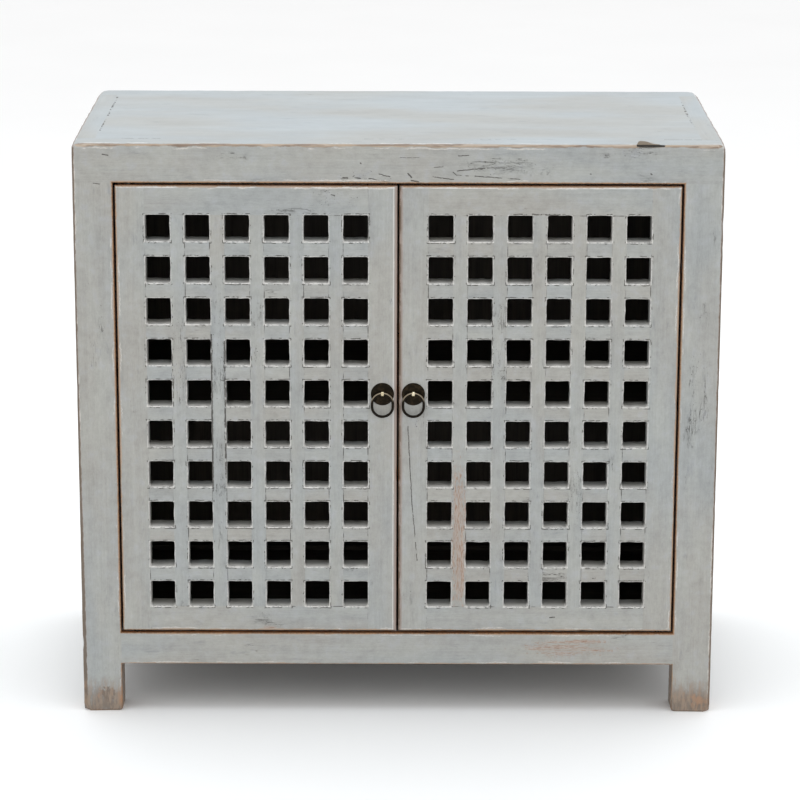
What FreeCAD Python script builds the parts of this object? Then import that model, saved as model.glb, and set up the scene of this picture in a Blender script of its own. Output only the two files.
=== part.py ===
"""A low two-door book cabinet of pegged and grooved timber, with open lattice doors.

Millimetres. The cabinet stands on z = 0 with its front towards -y and x = y = 0 at the
middle of its floor area. Left and right are as seen from the front.
"""

import FreeCAD, Part
import Sketcher
import os
import re
from collections import namedtuple

# Driving sizes: name, value in millimetres or a count, and what it measures
SIZES = [
    ("cabinet_width", 950.0, "outside of the posts"),
    ("cabinet_depth", 460.0, "front of the front posts to back of the back posts"),
    ("cabinet_height", 875.0, "floor to top"),
    ("corner_round", 4.0, "worn radius on the outside corners"),
    ("post_width", 58.5, "post seen from the front"),
    ("post_depth", 48.0, "post seen from the side"),
    ("leg_height", 76.0, "floor to the underside of the bottom rails"),
    ("bottom_rail_height", 49.4, "bottom rails"),
    ("top_rail_height", 56.7, "top rails"),
    ("side_rail_width", 30.5, "side rails seen from above"),
    ("back_rail_height", 40.0, "rail across the middle of the back"),
    ("back_rail_depth", 30.0, "rail across the middle of the back"),
    ("tenon_thickness", 12.0, "rail tenons"),
    ("tenon_margin", 4.0, "wood left between tenons that come close"),
    ("side_tenon_length", 20.0, "side rail tenons"),
    ("post_tenon_height", 30.0, "post tenon up into the top rail"),
    ("joint_clearance", 0.15, "play round a tenon, all sides"),
    ("panel_thickness", 10.0, "side and back panels"),
    ("panel_recess", 8.0, "panel face behind the frame face"),
    ("groove_depth", 8.0, "panels and floor let into the frame"),
    ("floor_thickness", 14.0, "floor planks"),
    ("floor_drop", 8.0, "floor below the top of the bottom rails"),
    ("top_plank_thickness", 16.0, "planks of the top"),
    ("rear_plank_width", 58.0, "narrow plank at the back of the top"),
    ("tongue_thickness", 6.0, "tongues on the planks"),
    ("tongue_length", 7.0, "tongues on the planks"),
    ("batten_width", 36.0, "battens under the top and the floor"),
    ("batten_height", 20.0, "battens under the top and the floor"),
    ("shelf_height", 451.0, "floor to the underside of the shelf"),
    ("shelf_thickness", 18.0, "shelf boards"),
    ("shelf_setback", 62.0, "shelf edge behind the front of the cabinet"),
    ("bearer_width", 20.0, "bearer under each end of the shelf"),
    ("bearer_height", 34.0, "bearer under each end of the shelf"),
    ("stop_height", 15.0, "strip that the closed doors meet"),
    ("stop_thickness", 12.0, "strip that the closed doors meet"),
    ("stop_seat", 8.5, "depth of the strip under the top rail"),
    ("stop_clearance", 0.5, "closed doors to the strip"),
    ("door_thickness", 36.0, "door frames"),
    ("door_top_gap", 4.0, "door to the top rail"),
    ("door_bottom_gap", 4.0, "door to the bottom rail"),
    ("door_centre_gap", 3.0, "between the two doors"),
    ("door_corner_clearance", 0.85, "turning corner of the door to the post"),
    ("door_edge_round", 2.5, "worn front edges round the outline of a door"),
    ("stile_width", 42.75, "both stiles of a door"),
    ("door_top_rail_height", 44.0, "top rail of a door"),
    ("door_bottom_rail_height", 38.5, "bottom rail of a door"),
    ("upright_count", 5.0, "lattice uprights of a door"),
    ("crossbar_count", 9.0, "lattice crossbars of a door"),
    ("upright_width", 21.5, "lattice uprights"),
    ("crossbar_height", 23.0, "lattice crossbars"),
    ("lattice_depth", 34.0, "lattice bars, front to back"),
    ("lattice_tenon_length", 9.0, "lattice bars let into the door frame"),
    ("lattice_tenon_thickness", 10.0, "lattice tenons, front to back"),
    ("lattice_shoulder", 4.0, "shoulder beside a lattice tenon"),
    ("pivot_inset", 20.0, "pivot to the outer edge of the door"),
    ("pivot_setback", 10.0, "pivot behind the front of the door"),
    ("pivot_diameter", 8.0, "pivot pins"),
    ("pivot_clearance", 0.08, "pin to its socket, on the radius"),
    ("pivot_fit", 0.02, "pin to its hole in the stile, on the radius"),
    ("pivot_in_stile", 26.0, "pin held in the stile"),
    ("pivot_in_rail", 13.0, "pin in the socket of the rail"),
    ("pivot_end_room", 0.3, "pin end to the bottom of its socket"),
    ("pull_height", 500.0, "floor to the middle of the ring pulls' plates"),
    ("plate_diameter", 34.5, "round plate behind each ring"),
    ("plate_thickness", 1.6, "middle of the plate, which is slightly domed"),
    ("plate_rim", 1.0, "thickness of the plate near its rim"),
    ("plate_bevel", 0.6, "front edge of the plate"),
    ("ring_width", 34.4, "outside of the ring, across"),
    ("ring_height", 38.6, "outside of the ring, up and down: its sides are straight for a little"),
    ("ring_wire", 3.6, "wire of the ring"),
    ("ring_play", 0.4, "ring wire to the eye that holds it"),
    ("eye_rise", 2.2, "eye of the staple above the middle of the plate"),
    ("staple_wire", 2.8, "wire of the eye and of the bent ends"),
    ("staple_shank", 4.4, "shank through the plate and the stile"),
    ("staple_hole_room", 0.3, "shank to its hole, on the radius"),
    ("staple_end_length", 13.0, "each bent end, up or down the back of the stile"),
    ("overrun", 5.0, "how far a cut runs past the face that it opens"),
]

# Places and sizes that follow from the driving sizes
PLACES = {
    "half_width": "cabinet_width / 2",
    "half_depth": "cabinet_depth / 2",
    "front_face": "-cabinet_depth / 2",
    "post_inside": "half_width - post_width",
    "post_back": "half_depth - post_depth",
    "rail_seat": "cabinet_height - top_rail_height",
    "bottom_rail_top": "leg_height + bottom_rail_height",
    "rail_depth": "door_thickness + stop_clearance + stop_seat",
    "rail_back": "half_depth - rail_depth",
    "rail_middle": "half_depth - rail_depth / 2",
    "side_rail_inside": "half_width - side_rail_width",
    "side_rail_middle": "half_width - side_rail_width / 2",
    "tenon_end": "side_rail_inside - tenon_margin",
    "tenon_half": "tenon_thickness / 2",
    "tenon_shoulder": "groove_depth + tenon_margin",
    "panel_outside": "half_width - panel_recess",
    "panel_inside": "half_width - panel_recess - panel_thickness",
    "back_panel_outside": "half_depth - panel_recess",
    "back_panel_inside": "half_depth - panel_recess - panel_thickness",
    "floor_top": "bottom_rail_top - floor_drop",
    "floor_underside": "floor_top - floor_thickness",
    "plank_underside": "cabinet_height - top_plank_thickness",
    "plank_joint": "rail_back - rear_plank_width",
    "tongue_low": "cabinet_height - top_plank_thickness / 2 - tongue_thickness / 2",
    "floor_tongue_low": "floor_top - floor_thickness / 2 - tongue_thickness / 2",
    "shelf_tongue_low": "shelf_height + shelf_thickness / 2 - tongue_thickness / 2",
    "shelf_top": "shelf_height + shelf_thickness",
    "shelf_front": "front_face + shelf_setback",
    "back_rail_front": "half_depth - back_rail_depth",
    "back_rail_middle": "half_depth - back_rail_depth / 2",
    "back_rail_low": "shelf_height + shelf_thickness / 2 - back_rail_height / 2",
    "bearer_tenon_end": "back_rail_middle - tenon_half - tenon_margin",
    "pivot_radius": "pivot_diameter / 2",
    "corner_reach": "sqrt(pivot_inset * pivot_inset + pivot_setback * pivot_setback)",
    "door_side_gap": "corner_reach - pivot_inset + door_corner_clearance",
    "door_outer": "post_inside - door_side_gap",
    "door_inner": "door_centre_gap / 2",
    "door_low": "bottom_rail_top + door_bottom_gap",
    "door_high": "rail_seat - door_top_gap",
    "door_back": "front_face + door_thickness",
    "door_middle": "front_face + door_thickness / 2",
    "pivot_x": "door_outer - pivot_inset",
    "pivot_y": "front_face + pivot_setback",
    "door_tenon_length": "stile_width - pivot_inset - pivot_radius - tenon_margin",
    "field_near": "door_inner + stile_width",
    "field_far": "door_outer - stile_width",
    "field_low": "door_low + door_bottom_rail_height",
    "field_high": "door_high - door_top_rail_height",
    "hole_width": "(field_far - field_near - upright_count * upright_width) / (upright_count + 1)",
    "hole_height": "(field_high - field_low - crossbar_count * crossbar_height) / (crossbar_count + 1)",
    "column_pitch": "hole_width + upright_width",
    "row_pitch": "hole_height + crossbar_height",
    "first_crossbar": "field_low + hole_height",
    "lattice_back": "front_face + lattice_depth",
    "lattice_middle": "front_face + lattice_depth / 2",
    "lattice_tenon_half": "lattice_tenon_thickness / 2",
    "stop_half_length": "pivot_x - door_thickness + pivot_setback - tenon_margin",
    "pull_x": "door_inner + stile_width / 2",
    "eye_z": "pull_height + eye_rise",
    "plate_front": "front_face - plate_thickness",
    "eye_radius": "ring_wire / 2 + ring_play + staple_wire / 2",
    "eye_y": "plate_front - eye_radius - staple_wire / 2",
    "ring_radius": "ring_width / 2 - ring_wire / 2",
    "ring_straight": "ring_height - ring_width",
    "staple_back": "door_back + staple_wire / 2",
}

SIDES = ("left", "right")
ENDS = ("front", "back")
OUTWARDS = {"left": -1, "right": 1, "front": -1, "back": 1}

# Two places closer than this are the same
SAME_PLACE = 0.001

CUBIC_MM_IN_A_CUBIC_CM = 1000

HALF_TURN = 180

# A cuboid by its span along x, y and z, each a pair of formulas
Block = namedtuple("Block", "x y z")

document = FreeCAD.newDocument("book_cabinet")
sheet = document.addObject("Spreadsheet::Sheet", "sizes")
size_names = {name for name, _, _ in SIZES}
nodes = []


def fill_sheet():
    """One row of the sheet for each driving size: its name, value and meaning."""
    for row, (name, size, meaning) in enumerate(SIZES, start=1):
        sheet.set(f"A{row}", name)
        sheet.set(f"B{row}", str(size))
        sheet.setAlias(f"B{row}", name)
        sheet.set(f"C{row}", meaning)
    document.recompute()


def formula(text):
    """The text with its places spelled out and its sizes read from the sheet."""

    def spelled(match):
        word = match.group(0)
        if word in size_names:
            return f"sizes.{word}"
        if word in PLACES:
            return f"({formula(PLACES[word])})"
        return word

    return re.sub(r"[a-z_]+", spelled, str(text))


def number(text):
    """The value of a formula now."""
    return float(sheet.evalExpression(formula(text)))


def count(name):
    """A count from the sheet, as a whole number."""
    return int(round(float(sheet.get(name))))


def mirrored(where, near, far):
    """The span from near to far on the positive side, or its mirror image."""
    if OUTWARDS[where] > 0:
        return near, far
    return f"-({far})", f"-({near})"


def spread(middle, half):
    """The span of half a size either way from the middle."""
    return f"{middle} - ({half})", f"{middle} + ({half})"


def grown(block, play="joint_clearance"):
    """The block with some play on every face."""
    return Block(*((f"({low}) - {play}", f"({high}) + {play}") for low, high in block))


class Piece:
    """One sub-part: a body made of solid features, each bound to the sheet.

    The body's own origin is its near, front, lower corner or its centre.
    """

    def __init__(self, name, origin):
        self.body = document.addObject("PartDesign::Body", name)
        self.body.Label = name
        self.body.AllowCompound = True
        self.origin = origin
        for axis, place in zip("xyz", origin):
            self.body.setExpression(f"Placement.Base.{axis}", formula(place))
        nodes.append(self.body)

    def feature(self, kind, place, sizes, turn=None):
        """A primitive feature at a place of the cabinet, turned about x, y or z by a quarter."""
        made = self.body.newObject(f"PartDesign::{kind}", f"{self.body.Name}_{kind}")
        if turn:
            made.Placement.Rotation = FreeCAD.Rotation(FreeCAD.Vector(*turn), 90)
        for axis, value, start in zip("xyz", place, self.origin):
            made.setExpression(f"Placement.Base.{axis}", formula(f"({value}) - ({start})"))
        for size, value in sizes.items():
            made.setExpression(size, formula(value))
        self.body.Tip = made
        return made

    def box(self, block, kind="AdditiveBox"):
        place = [low for low, _ in block]
        length, width, height = (f"({high}) - ({low})" for low, high in block)
        return self.feature(kind, place, {"Length": length, "Width": width, "Height": height})

    def cut(self, block):
        return self.box(block, "SubtractiveBox")

    def rod(self, axis, place, radius, length, kind="AdditiveCylinder"):
        """A round rod from a place along -y or +z."""
        turn = {"y": (1, 0, 0), "z": None}[axis]
        return self.feature(kind, place, {"Radius": radius, "Height": length}, turn)

    def bore(self, axis, place, radius, length):
        return self.rod(axis, place, radius, length, "SubtractiveCylinder")

    def loop(self, place, radius, wire_radius, turn=(0, 1, 0)):
        """A ring of wire, whose hole runs along x unless it is turned another way."""
        return self.feature("AdditiveTorus", place, {"Radius1": radius, "Radius2": wire_radius}, turn)

    def half_loop(self, where, place):
        """The half of a pull ring above or below its centre, its hole along y."""
        turn = {"above": (1, 0, 0), "below": (-1, 0, 0)}[where]
        made = self.loop(place, "ring_radius", "ring_wire / 2", turn)
        made.Angle3 = HALF_TURN
        return made

    def repeat(self, made, role, pitch, copies):
        """Copies of one feature along an axis of the body."""
        row = self.body.newObject("PartDesign::LinearPattern", f"{made.Name}_row")
        row.Originals = [made]
        axis = next(f for f in self.body.Origin.OriginFeatures if f.Role == role)
        row.Direction = (axis, [""])
        row.setExpression("Occurrences", formula(copies))
        row.setExpression("Length", formula(f"({copies} - 1) * ({pitch})"))
        self.body.Tip = row
        return row

    def ease(self, made, keep, size):
        """Round the edges of a feature for which keep(edge) is true."""
        document.recompute([self.body, made])
        names = [f"Edge{i}" for i, edge in enumerate(made.Shape.Edges, start=1) if keep(edge)]
        eased = self.body.newObject("PartDesign::Fillet", f"{made.Name}_eased")
        eased.Base = (made, names)
        eased.setExpression("Radius", formula(size))
        self.body.Tip = eased
        return eased


def timber(name, block):
    """A squared length of wood whose own origin is its low corner."""
    piece = Piece(name, [low for low, _ in block])
    piece.blank = piece.box(block)
    return piece


def turned(name, place, outline):
    """A round piece that faces the front, turned from points of radius and rise.

    A radius or rise of "0" puts the point on the sketch's own axis.
    """
    piece = Piece(name, place)
    piece.body.Placement.Rotation = FreeCAD.Rotation(FreeCAD.Vector(1, 0, 0), 90)
    sketch = piece.body.newObject("Sketcher::SketchObject", f"{name}_outline")
    plane = next(f for f in piece.body.Origin.OriginFeatures if f.Role == "XZ_Plane")
    sketch.AttachmentSupport = [(plane, "")]
    sketch.MapMode = "FlatFace"
    points = [FreeCAD.Vector(number(radius), number(rise), 0) for radius, rise in outline]
    for line, start in enumerate(points):
        end = points[(line + 1) % len(points)]
        sketch.addGeometry(Part.LineSegment(start, end))
    for line in range(len(points)):
        following = (line + 1) % len(points)
        sketch.addConstraint(Sketcher.Constraint("Coincident", line, 2, following, 1))
    for line, (point, places) in enumerate(zip(points, outline)):
        for kind, axis, size, place in zip(("DistanceX", "DistanceY"), (-2, -1), point, places):
            if place == "0":
                sketch.addConstraint(Sketcher.Constraint("PointOnObject", line, 1, axis))
            else:
                made = sketch.addConstraint(Sketcher.Constraint(kind, -1, 1, line, 1, size))
                sketch.setExpression(f"Constraints[{made}]", formula(place))
    solid = piece.body.newObject("PartDesign::Revolution", f"{name}_turned")
    solid.Profile = sketch
    solid.ReferenceAxis = (sketch, ["V_Axis"])
    piece.body.Tip = solid
    return piece


def let_in(piece, block, *holders):
    """A tenon, tongue or pair of them on a piece, and its seat in each holder."""
    piece.box(block)
    for holder in holders:
        holder.cut(grown(block))


def at_limit(edge, **limits):
    """Whether an edge lies wholly at the given ends of its feature, such as x=1, z=1."""
    box = edge.BoundBox
    spans = {"x": (box.XMin, box.XMax), "y": (box.YMin, box.YMax), "z": (box.ZMin, box.ZMax)}
    for axis, target in limits.items():
        if any(abs(end - target) > SAME_PLACE for end in spans[axis]):
            return False
    return True


def outer_edges(piece, *corners):
    """A test for the edges of a blank at pairs of its faces, such as ("x+", "z+")."""

    def keep(edge):
        whole = piece.blank.Shape.BoundBox
        ends = {
            "x-": whole.XMin,
            "x+": whole.XMax,
            "y-": whole.YMin,
            "y+": whole.YMax,
            "z-": whole.ZMin,
            "z+": whole.ZMax,
        }
        return any(at_limit(edge, **{face[0]: ends[face] for face in corner}) for corner in corners)

    return keep


fill_sheet()


# Cabinet frame


def outer_face(axis, where):
    """The name of a blank's face that looks away from the middle of the cabinet."""
    return axis + ("+" if OUTWARDS[where] > 0 else "-")


def make_posts():
    """Four posts, each with a tenon on top for the front or back top rail."""
    posts = {}
    for end in ENDS:
        for side in SIDES:
            x = mirrored(side, "post_inside", "half_width")
            y = mirrored(end, "post_back", "half_depth")
            post = timber(f"{end}_{side}_post", Block(x, y, ("0", "rail_seat")))
            corner = (outer_face("x", side), outer_face("y", end))
            post.ease(post.blank, outer_edges(post, corner), "corner_round")
            posts[end, side] = post
    return posts


def make_top_frame(posts):
    """Full-width front and back rails on the posts, with side rails tenoned between them."""
    rails = {}
    for end in ENDS:
        face = outer_face("y", end)
        rail = timber(
            f"top_{end}_rail",
            Block(
                ("-half_width", "half_width"),
                mirrored(end, "rail_back", "half_depth"),
                ("rail_seat", "cabinet_height"),
            ),
        )
        corners = [("x-", face), ("x+", face), (face, "z+"), ("x-", "z+"), ("x+", "z+")]
        rail.ease(rail.blank, outer_edges(rail, *corners), "corner_round")
        for side in SIDES:
            tenon = Block(
                mirrored(side, "post_inside + tenon_margin", "tenon_end"),
                mirrored(end, "rail_middle - tenon_half", "rail_middle + tenon_half"),
                ("rail_seat - overrun", "rail_seat + post_tenon_height"),
            )
            let_in(posts[end, side], tenon, rail)
        rails[end] = rail
    for side in SIDES:
        rail = timber(
            f"top_{side}_rail",
            Block(
                mirrored(side, "side_rail_inside", "half_width"),
                ("-rail_back", "rail_back"),
                ("rail_seat", "cabinet_height"),
            ),
        )
        rail.ease(rail.blank, outer_edges(rail, (outer_face("x", side), "z+")), "corner_round")
        tenon = Block(
            mirrored(side, "side_rail_middle - tenon_half", "side_rail_middle + tenon_half"),
            spread("0", "rail_back + side_tenon_length"),
            ("rail_seat + tenon_shoulder", "cabinet_height - tenon_shoulder"),
        )
        let_in(rail, tenon, rails["front"], rails["back"])
        rails[side] = rail
    return rails


def make_bottom_frame(posts):
    """Four rails tenoned between the posts."""
    rails = {}
    height = ("leg_height + tenon_shoulder", "bottom_rail_top - tenon_shoulder")
    for end in ENDS:
        rail = timber(
            f"bottom_{end}_rail",
            Block(
                ("-post_inside", "post_inside"),
                mirrored(end, "rail_back", "half_depth"),
                ("leg_height", "bottom_rail_top"),
            ),
        )
        middle = mirrored(end, "rail_middle - tenon_half", "rail_middle + tenon_half")
        tenon = Block(spread("0", "tenon_end"), middle, height)
        let_in(rail, tenon, posts[end, "left"], posts[end, "right"])
        rails[end] = rail
    for side in SIDES:
        rail = timber(
            f"bottom_{side}_rail",
            Block(
                mirrored(side, "side_rail_inside", "half_width"),
                ("-post_back", "post_back"),
                ("leg_height", "bottom_rail_top"),
            ),
        )
        middle = mirrored(side, "side_rail_middle - tenon_half", "side_rail_middle + tenon_half")
        tenon = Block(middle, spread("0", "post_back + side_tenon_length"), height)
        let_in(rail, tenon, posts["front", side], posts["back", side])
        rails[side] = rail
    return rails


# Panels, planks, shelf and stop


def make_panel(name, block, *holders):
    """A thin panel that lies loose in the grooves of the members round it."""
    panel = timber(name, block)
    for holder in holders:
        holder.cut(grown(block))
    return panel


def make_side_panels(posts, top_rails, bottom_rails):
    for side in SIDES:
        block = Block(
            mirrored(side, "panel_inside", "panel_outside"),
            spread("0", "post_back + groove_depth"),
            ("bottom_rail_top - groove_depth", "rail_seat + groove_depth"),
        )
        make_panel(
            f"{side}_side_panel",
            block,
            posts["front", side],
            posts["back", side],
            top_rails[side],
            top_rails["front"],
            top_rails["back"],
            bottom_rails[side],
        )


def make_back(posts, top_rails, bottom_rails):
    """A rail across the back with a panel below it and one above it."""
    rail = timber(
        "back_middle_rail",
        Block(
            ("-post_inside", "post_inside"),
            ("back_rail_front", "half_depth"),
            ("back_rail_low", "back_rail_low + back_rail_height"),
        ),
    )
    tenon = Block(
        spread("0", "tenon_end"),
        spread("back_rail_middle", "tenon_half"),
        ("back_rail_low + tenon_shoulder", "back_rail_low + back_rail_height - tenon_shoulder"),
    )
    let_in(rail, tenon, posts["back", "left"], posts["back", "right"])
    width = spread("0", "post_inside + groove_depth")
    depth = ("back_panel_inside", "back_panel_outside")
    lower = ("bottom_rail_top - groove_depth", "back_rail_low + groove_depth")
    upper = ("back_rail_low + back_rail_height - groove_depth", "rail_seat + groove_depth")
    back_posts = posts["back", "left"], posts["back", "right"]
    make_panel("lower_back_panel", Block(width, depth, lower), rail, bottom_rails["back"], *back_posts)
    make_panel("upper_back_panel", Block(width, depth, upper), rail, top_rails["back"], *back_posts)


def make_planks(kind, width, height, tongue_low, back, joint, front, notches=()):
    """A front and a back plank side by side, tongued together along their joint."""
    planks = []
    for end, depth in (("front", (front, joint)), ("back", (joint, back))):
        plank = timber(f"{kind}_{end}_plank", Block(width, depth, height))
        for notch in notches:
            plank.cut(grown(notch))
        planks.append(plank)
    tongue = Block(
        spread("0", "post_inside - tenon_margin"),
        (f"{joint} - overrun", f"{joint} + tongue_length"),
        (tongue_low, f"{tongue_low} + tongue_thickness"),
    )
    let_in(planks[0], tongue, planks[1])
    return planks


def post_blocks():
    """The space that each post takes, for the boards that go round it."""
    return [
        Block(
            mirrored(side, "post_inside", "half_width"),
            mirrored(end, "post_back", "half_depth"),
            ("0", "rail_seat"),
        )
        for end in ENDS
        for side in SIDES
    ]


def make_top(rails):
    """Two planks let in flush between the top rails, on a batten."""
    planks = make_planks(
        "top",
        ("-side_rail_inside", "side_rail_inside"),
        ("plank_underside", "cabinet_height"),
        "tongue_low",
        "rail_back",
        "plank_joint",
        "-rail_back",
    )
    height = ("tongue_low", "tongue_low + tongue_thickness")
    ends = spread("0", "side_rail_inside + tongue_length")
    depths = (
        ("-rail_back - tongue_length", "plank_joint"),
        ("plank_joint + tongue_length", "rail_back + tongue_length"),
    )
    for plank, depth, end in zip(planks, depths, ENDS):
        let_in(plank, Block(ends, depth, height), rails["left"], rails["right"], rails[end])
    make_batten("top_batten", "plank_underside", rails["front"], rails["back"])


def make_floor(rails):
    """Two planks let into the bottom rails and round the posts, on a batten."""
    make_planks(
        "floor",
        spread("0", "side_rail_inside + groove_depth"),
        ("floor_underside", "floor_top"),
        "floor_tongue_low",
        "rail_back + groove_depth",
        "0",
        "-rail_back - groove_depth",
        post_blocks(),
    )
    seat = Block(
        spread("0", "side_rail_inside + groove_depth"),
        spread("0", "rail_back + groove_depth"),
        ("floor_underside", "floor_top"),
    )
    for rail in rails.values():
        rail.cut(grown(seat))
    make_batten("floor_batten", "floor_underside", rails["front"], rails["back"])


def make_batten(name, top, front_rail, back_rail):
    """A bar under the middle of the planks, let into the front and back rails."""
    low = f"{top} - batten_height"
    batten = timber(name, Block(spread("0", "batten_width / 2"), ("-rail_back", "rail_back"), (low, top)))
    tenon = Block(
        spread("0", "batten_width / 2 - tenon_margin"),
        spread("0", "rail_back + tongue_length"),
        (f"{low} + tenon_margin", f"{top} - tenon_margin"),
    )
    let_in(batten, tenon, front_rail, back_rail)


def make_shelf(posts):
    """Two boards on a bearer at each end, in front of the back's middle rail."""
    for side in SIDES:
        x = mirrored(side, "post_inside", "post_inside + bearer_width")
        z = ("shelf_height - bearer_height", "shelf_height")
        bearer = timber(f"{side}_shelf_bearer", Block(x, ("-post_back", "post_back"), z))
        tenon = Block(
            mirrored(side, "post_inside + tenon_margin", "post_inside + bearer_width - tenon_margin"),
            spread("0", "bearer_tenon_end"),
            ("shelf_height - bearer_height + tenon_margin", "shelf_height - tenon_margin"),
        )
        let_in(bearer, tenon, posts["front", side], posts["back", side])
    make_planks(
        "shelf",
        spread("0", "post_inside + bearer_width"),
        ("shelf_height", "shelf_top"),
        "shelf_tongue_low",
        "back_rail_front",
        "0",
        "shelf_front",
        post_blocks(),
    )


def make_door_stop():
    """A strip under the top rail, short of the stiles' turning corners."""
    timber(
        "door_stop",
        Block(
            spread("0", "stop_half_length"),
            ("door_back + stop_clearance", "door_back + stop_clearance + stop_thickness"),
            ("rail_seat - stop_height", "rail_seat"),
        ),
    )


# Doors


def make_door(side, top_rail, bottom_rail):
    """A framed door with an open lattice, its pivot pins and its ring pull."""
    name = f"{side}_door"
    depth = ("front_face", "door_back")
    height = ("door_low", "door_high")
    near_post = mirrored(side, "door_outer - stile_width", "door_outer")
    hinge_stile = timber(f"{name}_hinge_stile", Block(near_post, depth, height))
    near_middle = mirrored(side, "door_inner", "door_inner + stile_width")
    meeting_stile = timber(f"{name}_meeting_stile", Block(near_middle, depth, height))
    stiles = (hinge_stile, meeting_stile)
    inward = {"left": "right", "right": "left"}[side]
    for stile, where in ((hinge_stile, side), (meeting_stile, inward)):
        outline = ((outer_face("x", where), "y-"), ("y-", "z+"), ("y-", "z-"))
        stile.ease(stile.blank, outer_edges(stile, *outline), "door_edge_round")
    rails = []
    for level, low, high, outside in (
        ("top", "field_high", "door_high", "z+"),
        ("bottom", "door_low", "field_low", "z-"),
    ):
        between = mirrored(side, "field_near", "field_far")
        rail = timber(f"{name}_{level}_rail", Block(between, depth, (low, high)))
        rail.ease(rail.blank, outer_edges(rail, ("y-", outside)), "door_edge_round")
        tenon = Block(
            mirrored(side, "field_near - door_tenon_length", "field_far + door_tenon_length"),
            spread("door_middle", "tenon_half"),
            (f"{low} + tenon_shoulder", f"{high} - tenon_shoulder"),
        )
        let_in(rail, tenon, *stiles)
        rails.append(rail)
    make_lattice(side, name, stiles, rails)
    make_pivots(side, name, hinge_stile, top_rail, bottom_rail)
    make_pull(side, meeting_stile)


def make_lattice(side, name, stiles, rails):
    """Uprights that run whole in front and crossbars that run whole behind, halved together."""
    lattice_bar = ("front_face", "lattice_back")
    tenon_depth = spread("lattice_middle", "lattice_tenon_half")
    tenon_height = spread("0", "crossbar_height / 2 - lattice_shoulder")
    crossbar_low = Block(
        mirrored(side, "field_near", "field_far"),
        lattice_bar,
        ("first_crossbar", "first_crossbar + crossbar_height"),
    )
    crossbars = timber(f"{name}_crossbars", crossbar_low)
    crossbars.repeat(crossbars.blank, "Z_Axis", "row_pitch", "crossbar_count")
    tenon = Block(
        mirrored(side, "field_near - lattice_tenon_length", "field_far + lattice_tenon_length"),
        tenon_depth,
        tuple(f"first_crossbar + crossbar_height / 2 + ({part})" for part in tenon_height),
    )
    crossbars.repeat(crossbars.box(tenon), "Z_Axis", "row_pitch", "crossbar_count")
    for stile in stiles:
        stile.repeat(stile.cut(grown(tenon)), "Z_Axis", "row_pitch", "crossbar_count")

    for index in range(count("upright_count")):
        near = f"field_near + hole_width + {index} * column_pitch"
        far = f"{near} + upright_width"
        upright = timber(
            f"{name}_upright_{index + 1}",
            Block(mirrored(side, near, far), lattice_bar, ("field_low", "field_high")),
        )
        tenon = Block(
            mirrored(side, f"{near} + lattice_shoulder", f"{far} - lattice_shoulder"),
            tenon_depth,
            ("field_low - lattice_tenon_length", "field_high + lattice_tenon_length"),
        )
        let_in(upright, tenon, *rails)
        behind = Block(
            mirrored(side, f"{near} - overrun", f"{far} + overrun"),
            ("lattice_middle", "lattice_back + overrun"),
            ("first_crossbar", "first_crossbar + crossbar_height"),
        )
        upright.repeat(upright.cut(behind), "Z_Axis", "row_pitch", "crossbar_count")
        crossbars.cut(
            Block(
                mirrored(side, near, far),
                ("front_face - overrun", "lattice_middle"),
                ("field_low", "field_high"),
            )
        )


def make_pivots(side, name, stile, top_rail, bottom_rail):
    """A pin in each end of the hinge stile, turning in a socket in the rail."""
    x = mirrored(side, "pivot_x", "pivot_x")[0]
    hole = "pivot_radius + pivot_fit"
    socket = "pivot_radius + pivot_clearance"
    length = "pivot_in_stile + pivot_in_rail"
    lower_low = "bottom_rail_top - pivot_in_rail"
    upper_low = "door_high - pivot_in_stile"
    for level, low, gap, rail, socket_low in (
        ("lower", lower_low, "door_bottom_gap", bottom_rail, f"{lower_low} - pivot_end_room"),
        ("upper", upper_low, "door_top_gap", top_rail, "rail_seat - overrun"),
    ):
        place = (x, "pivot_y", low)
        pin = Piece(f"{name}_{level}_pivot", place)
        pin.rod("z", place, "pivot_radius", f"{length} + {gap}")
        rail.bore("z", (x, "pivot_y", socket_low), socket, "pivot_in_rail + pivot_end_room + overrun")
    stile.bore("z", (x, "pivot_y", "door_low - overrun"), hole, "pivot_in_stile + overrun")
    stile.bore("z", (x, "pivot_y", upper_low), hole, "pivot_in_stile + overrun")


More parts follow.
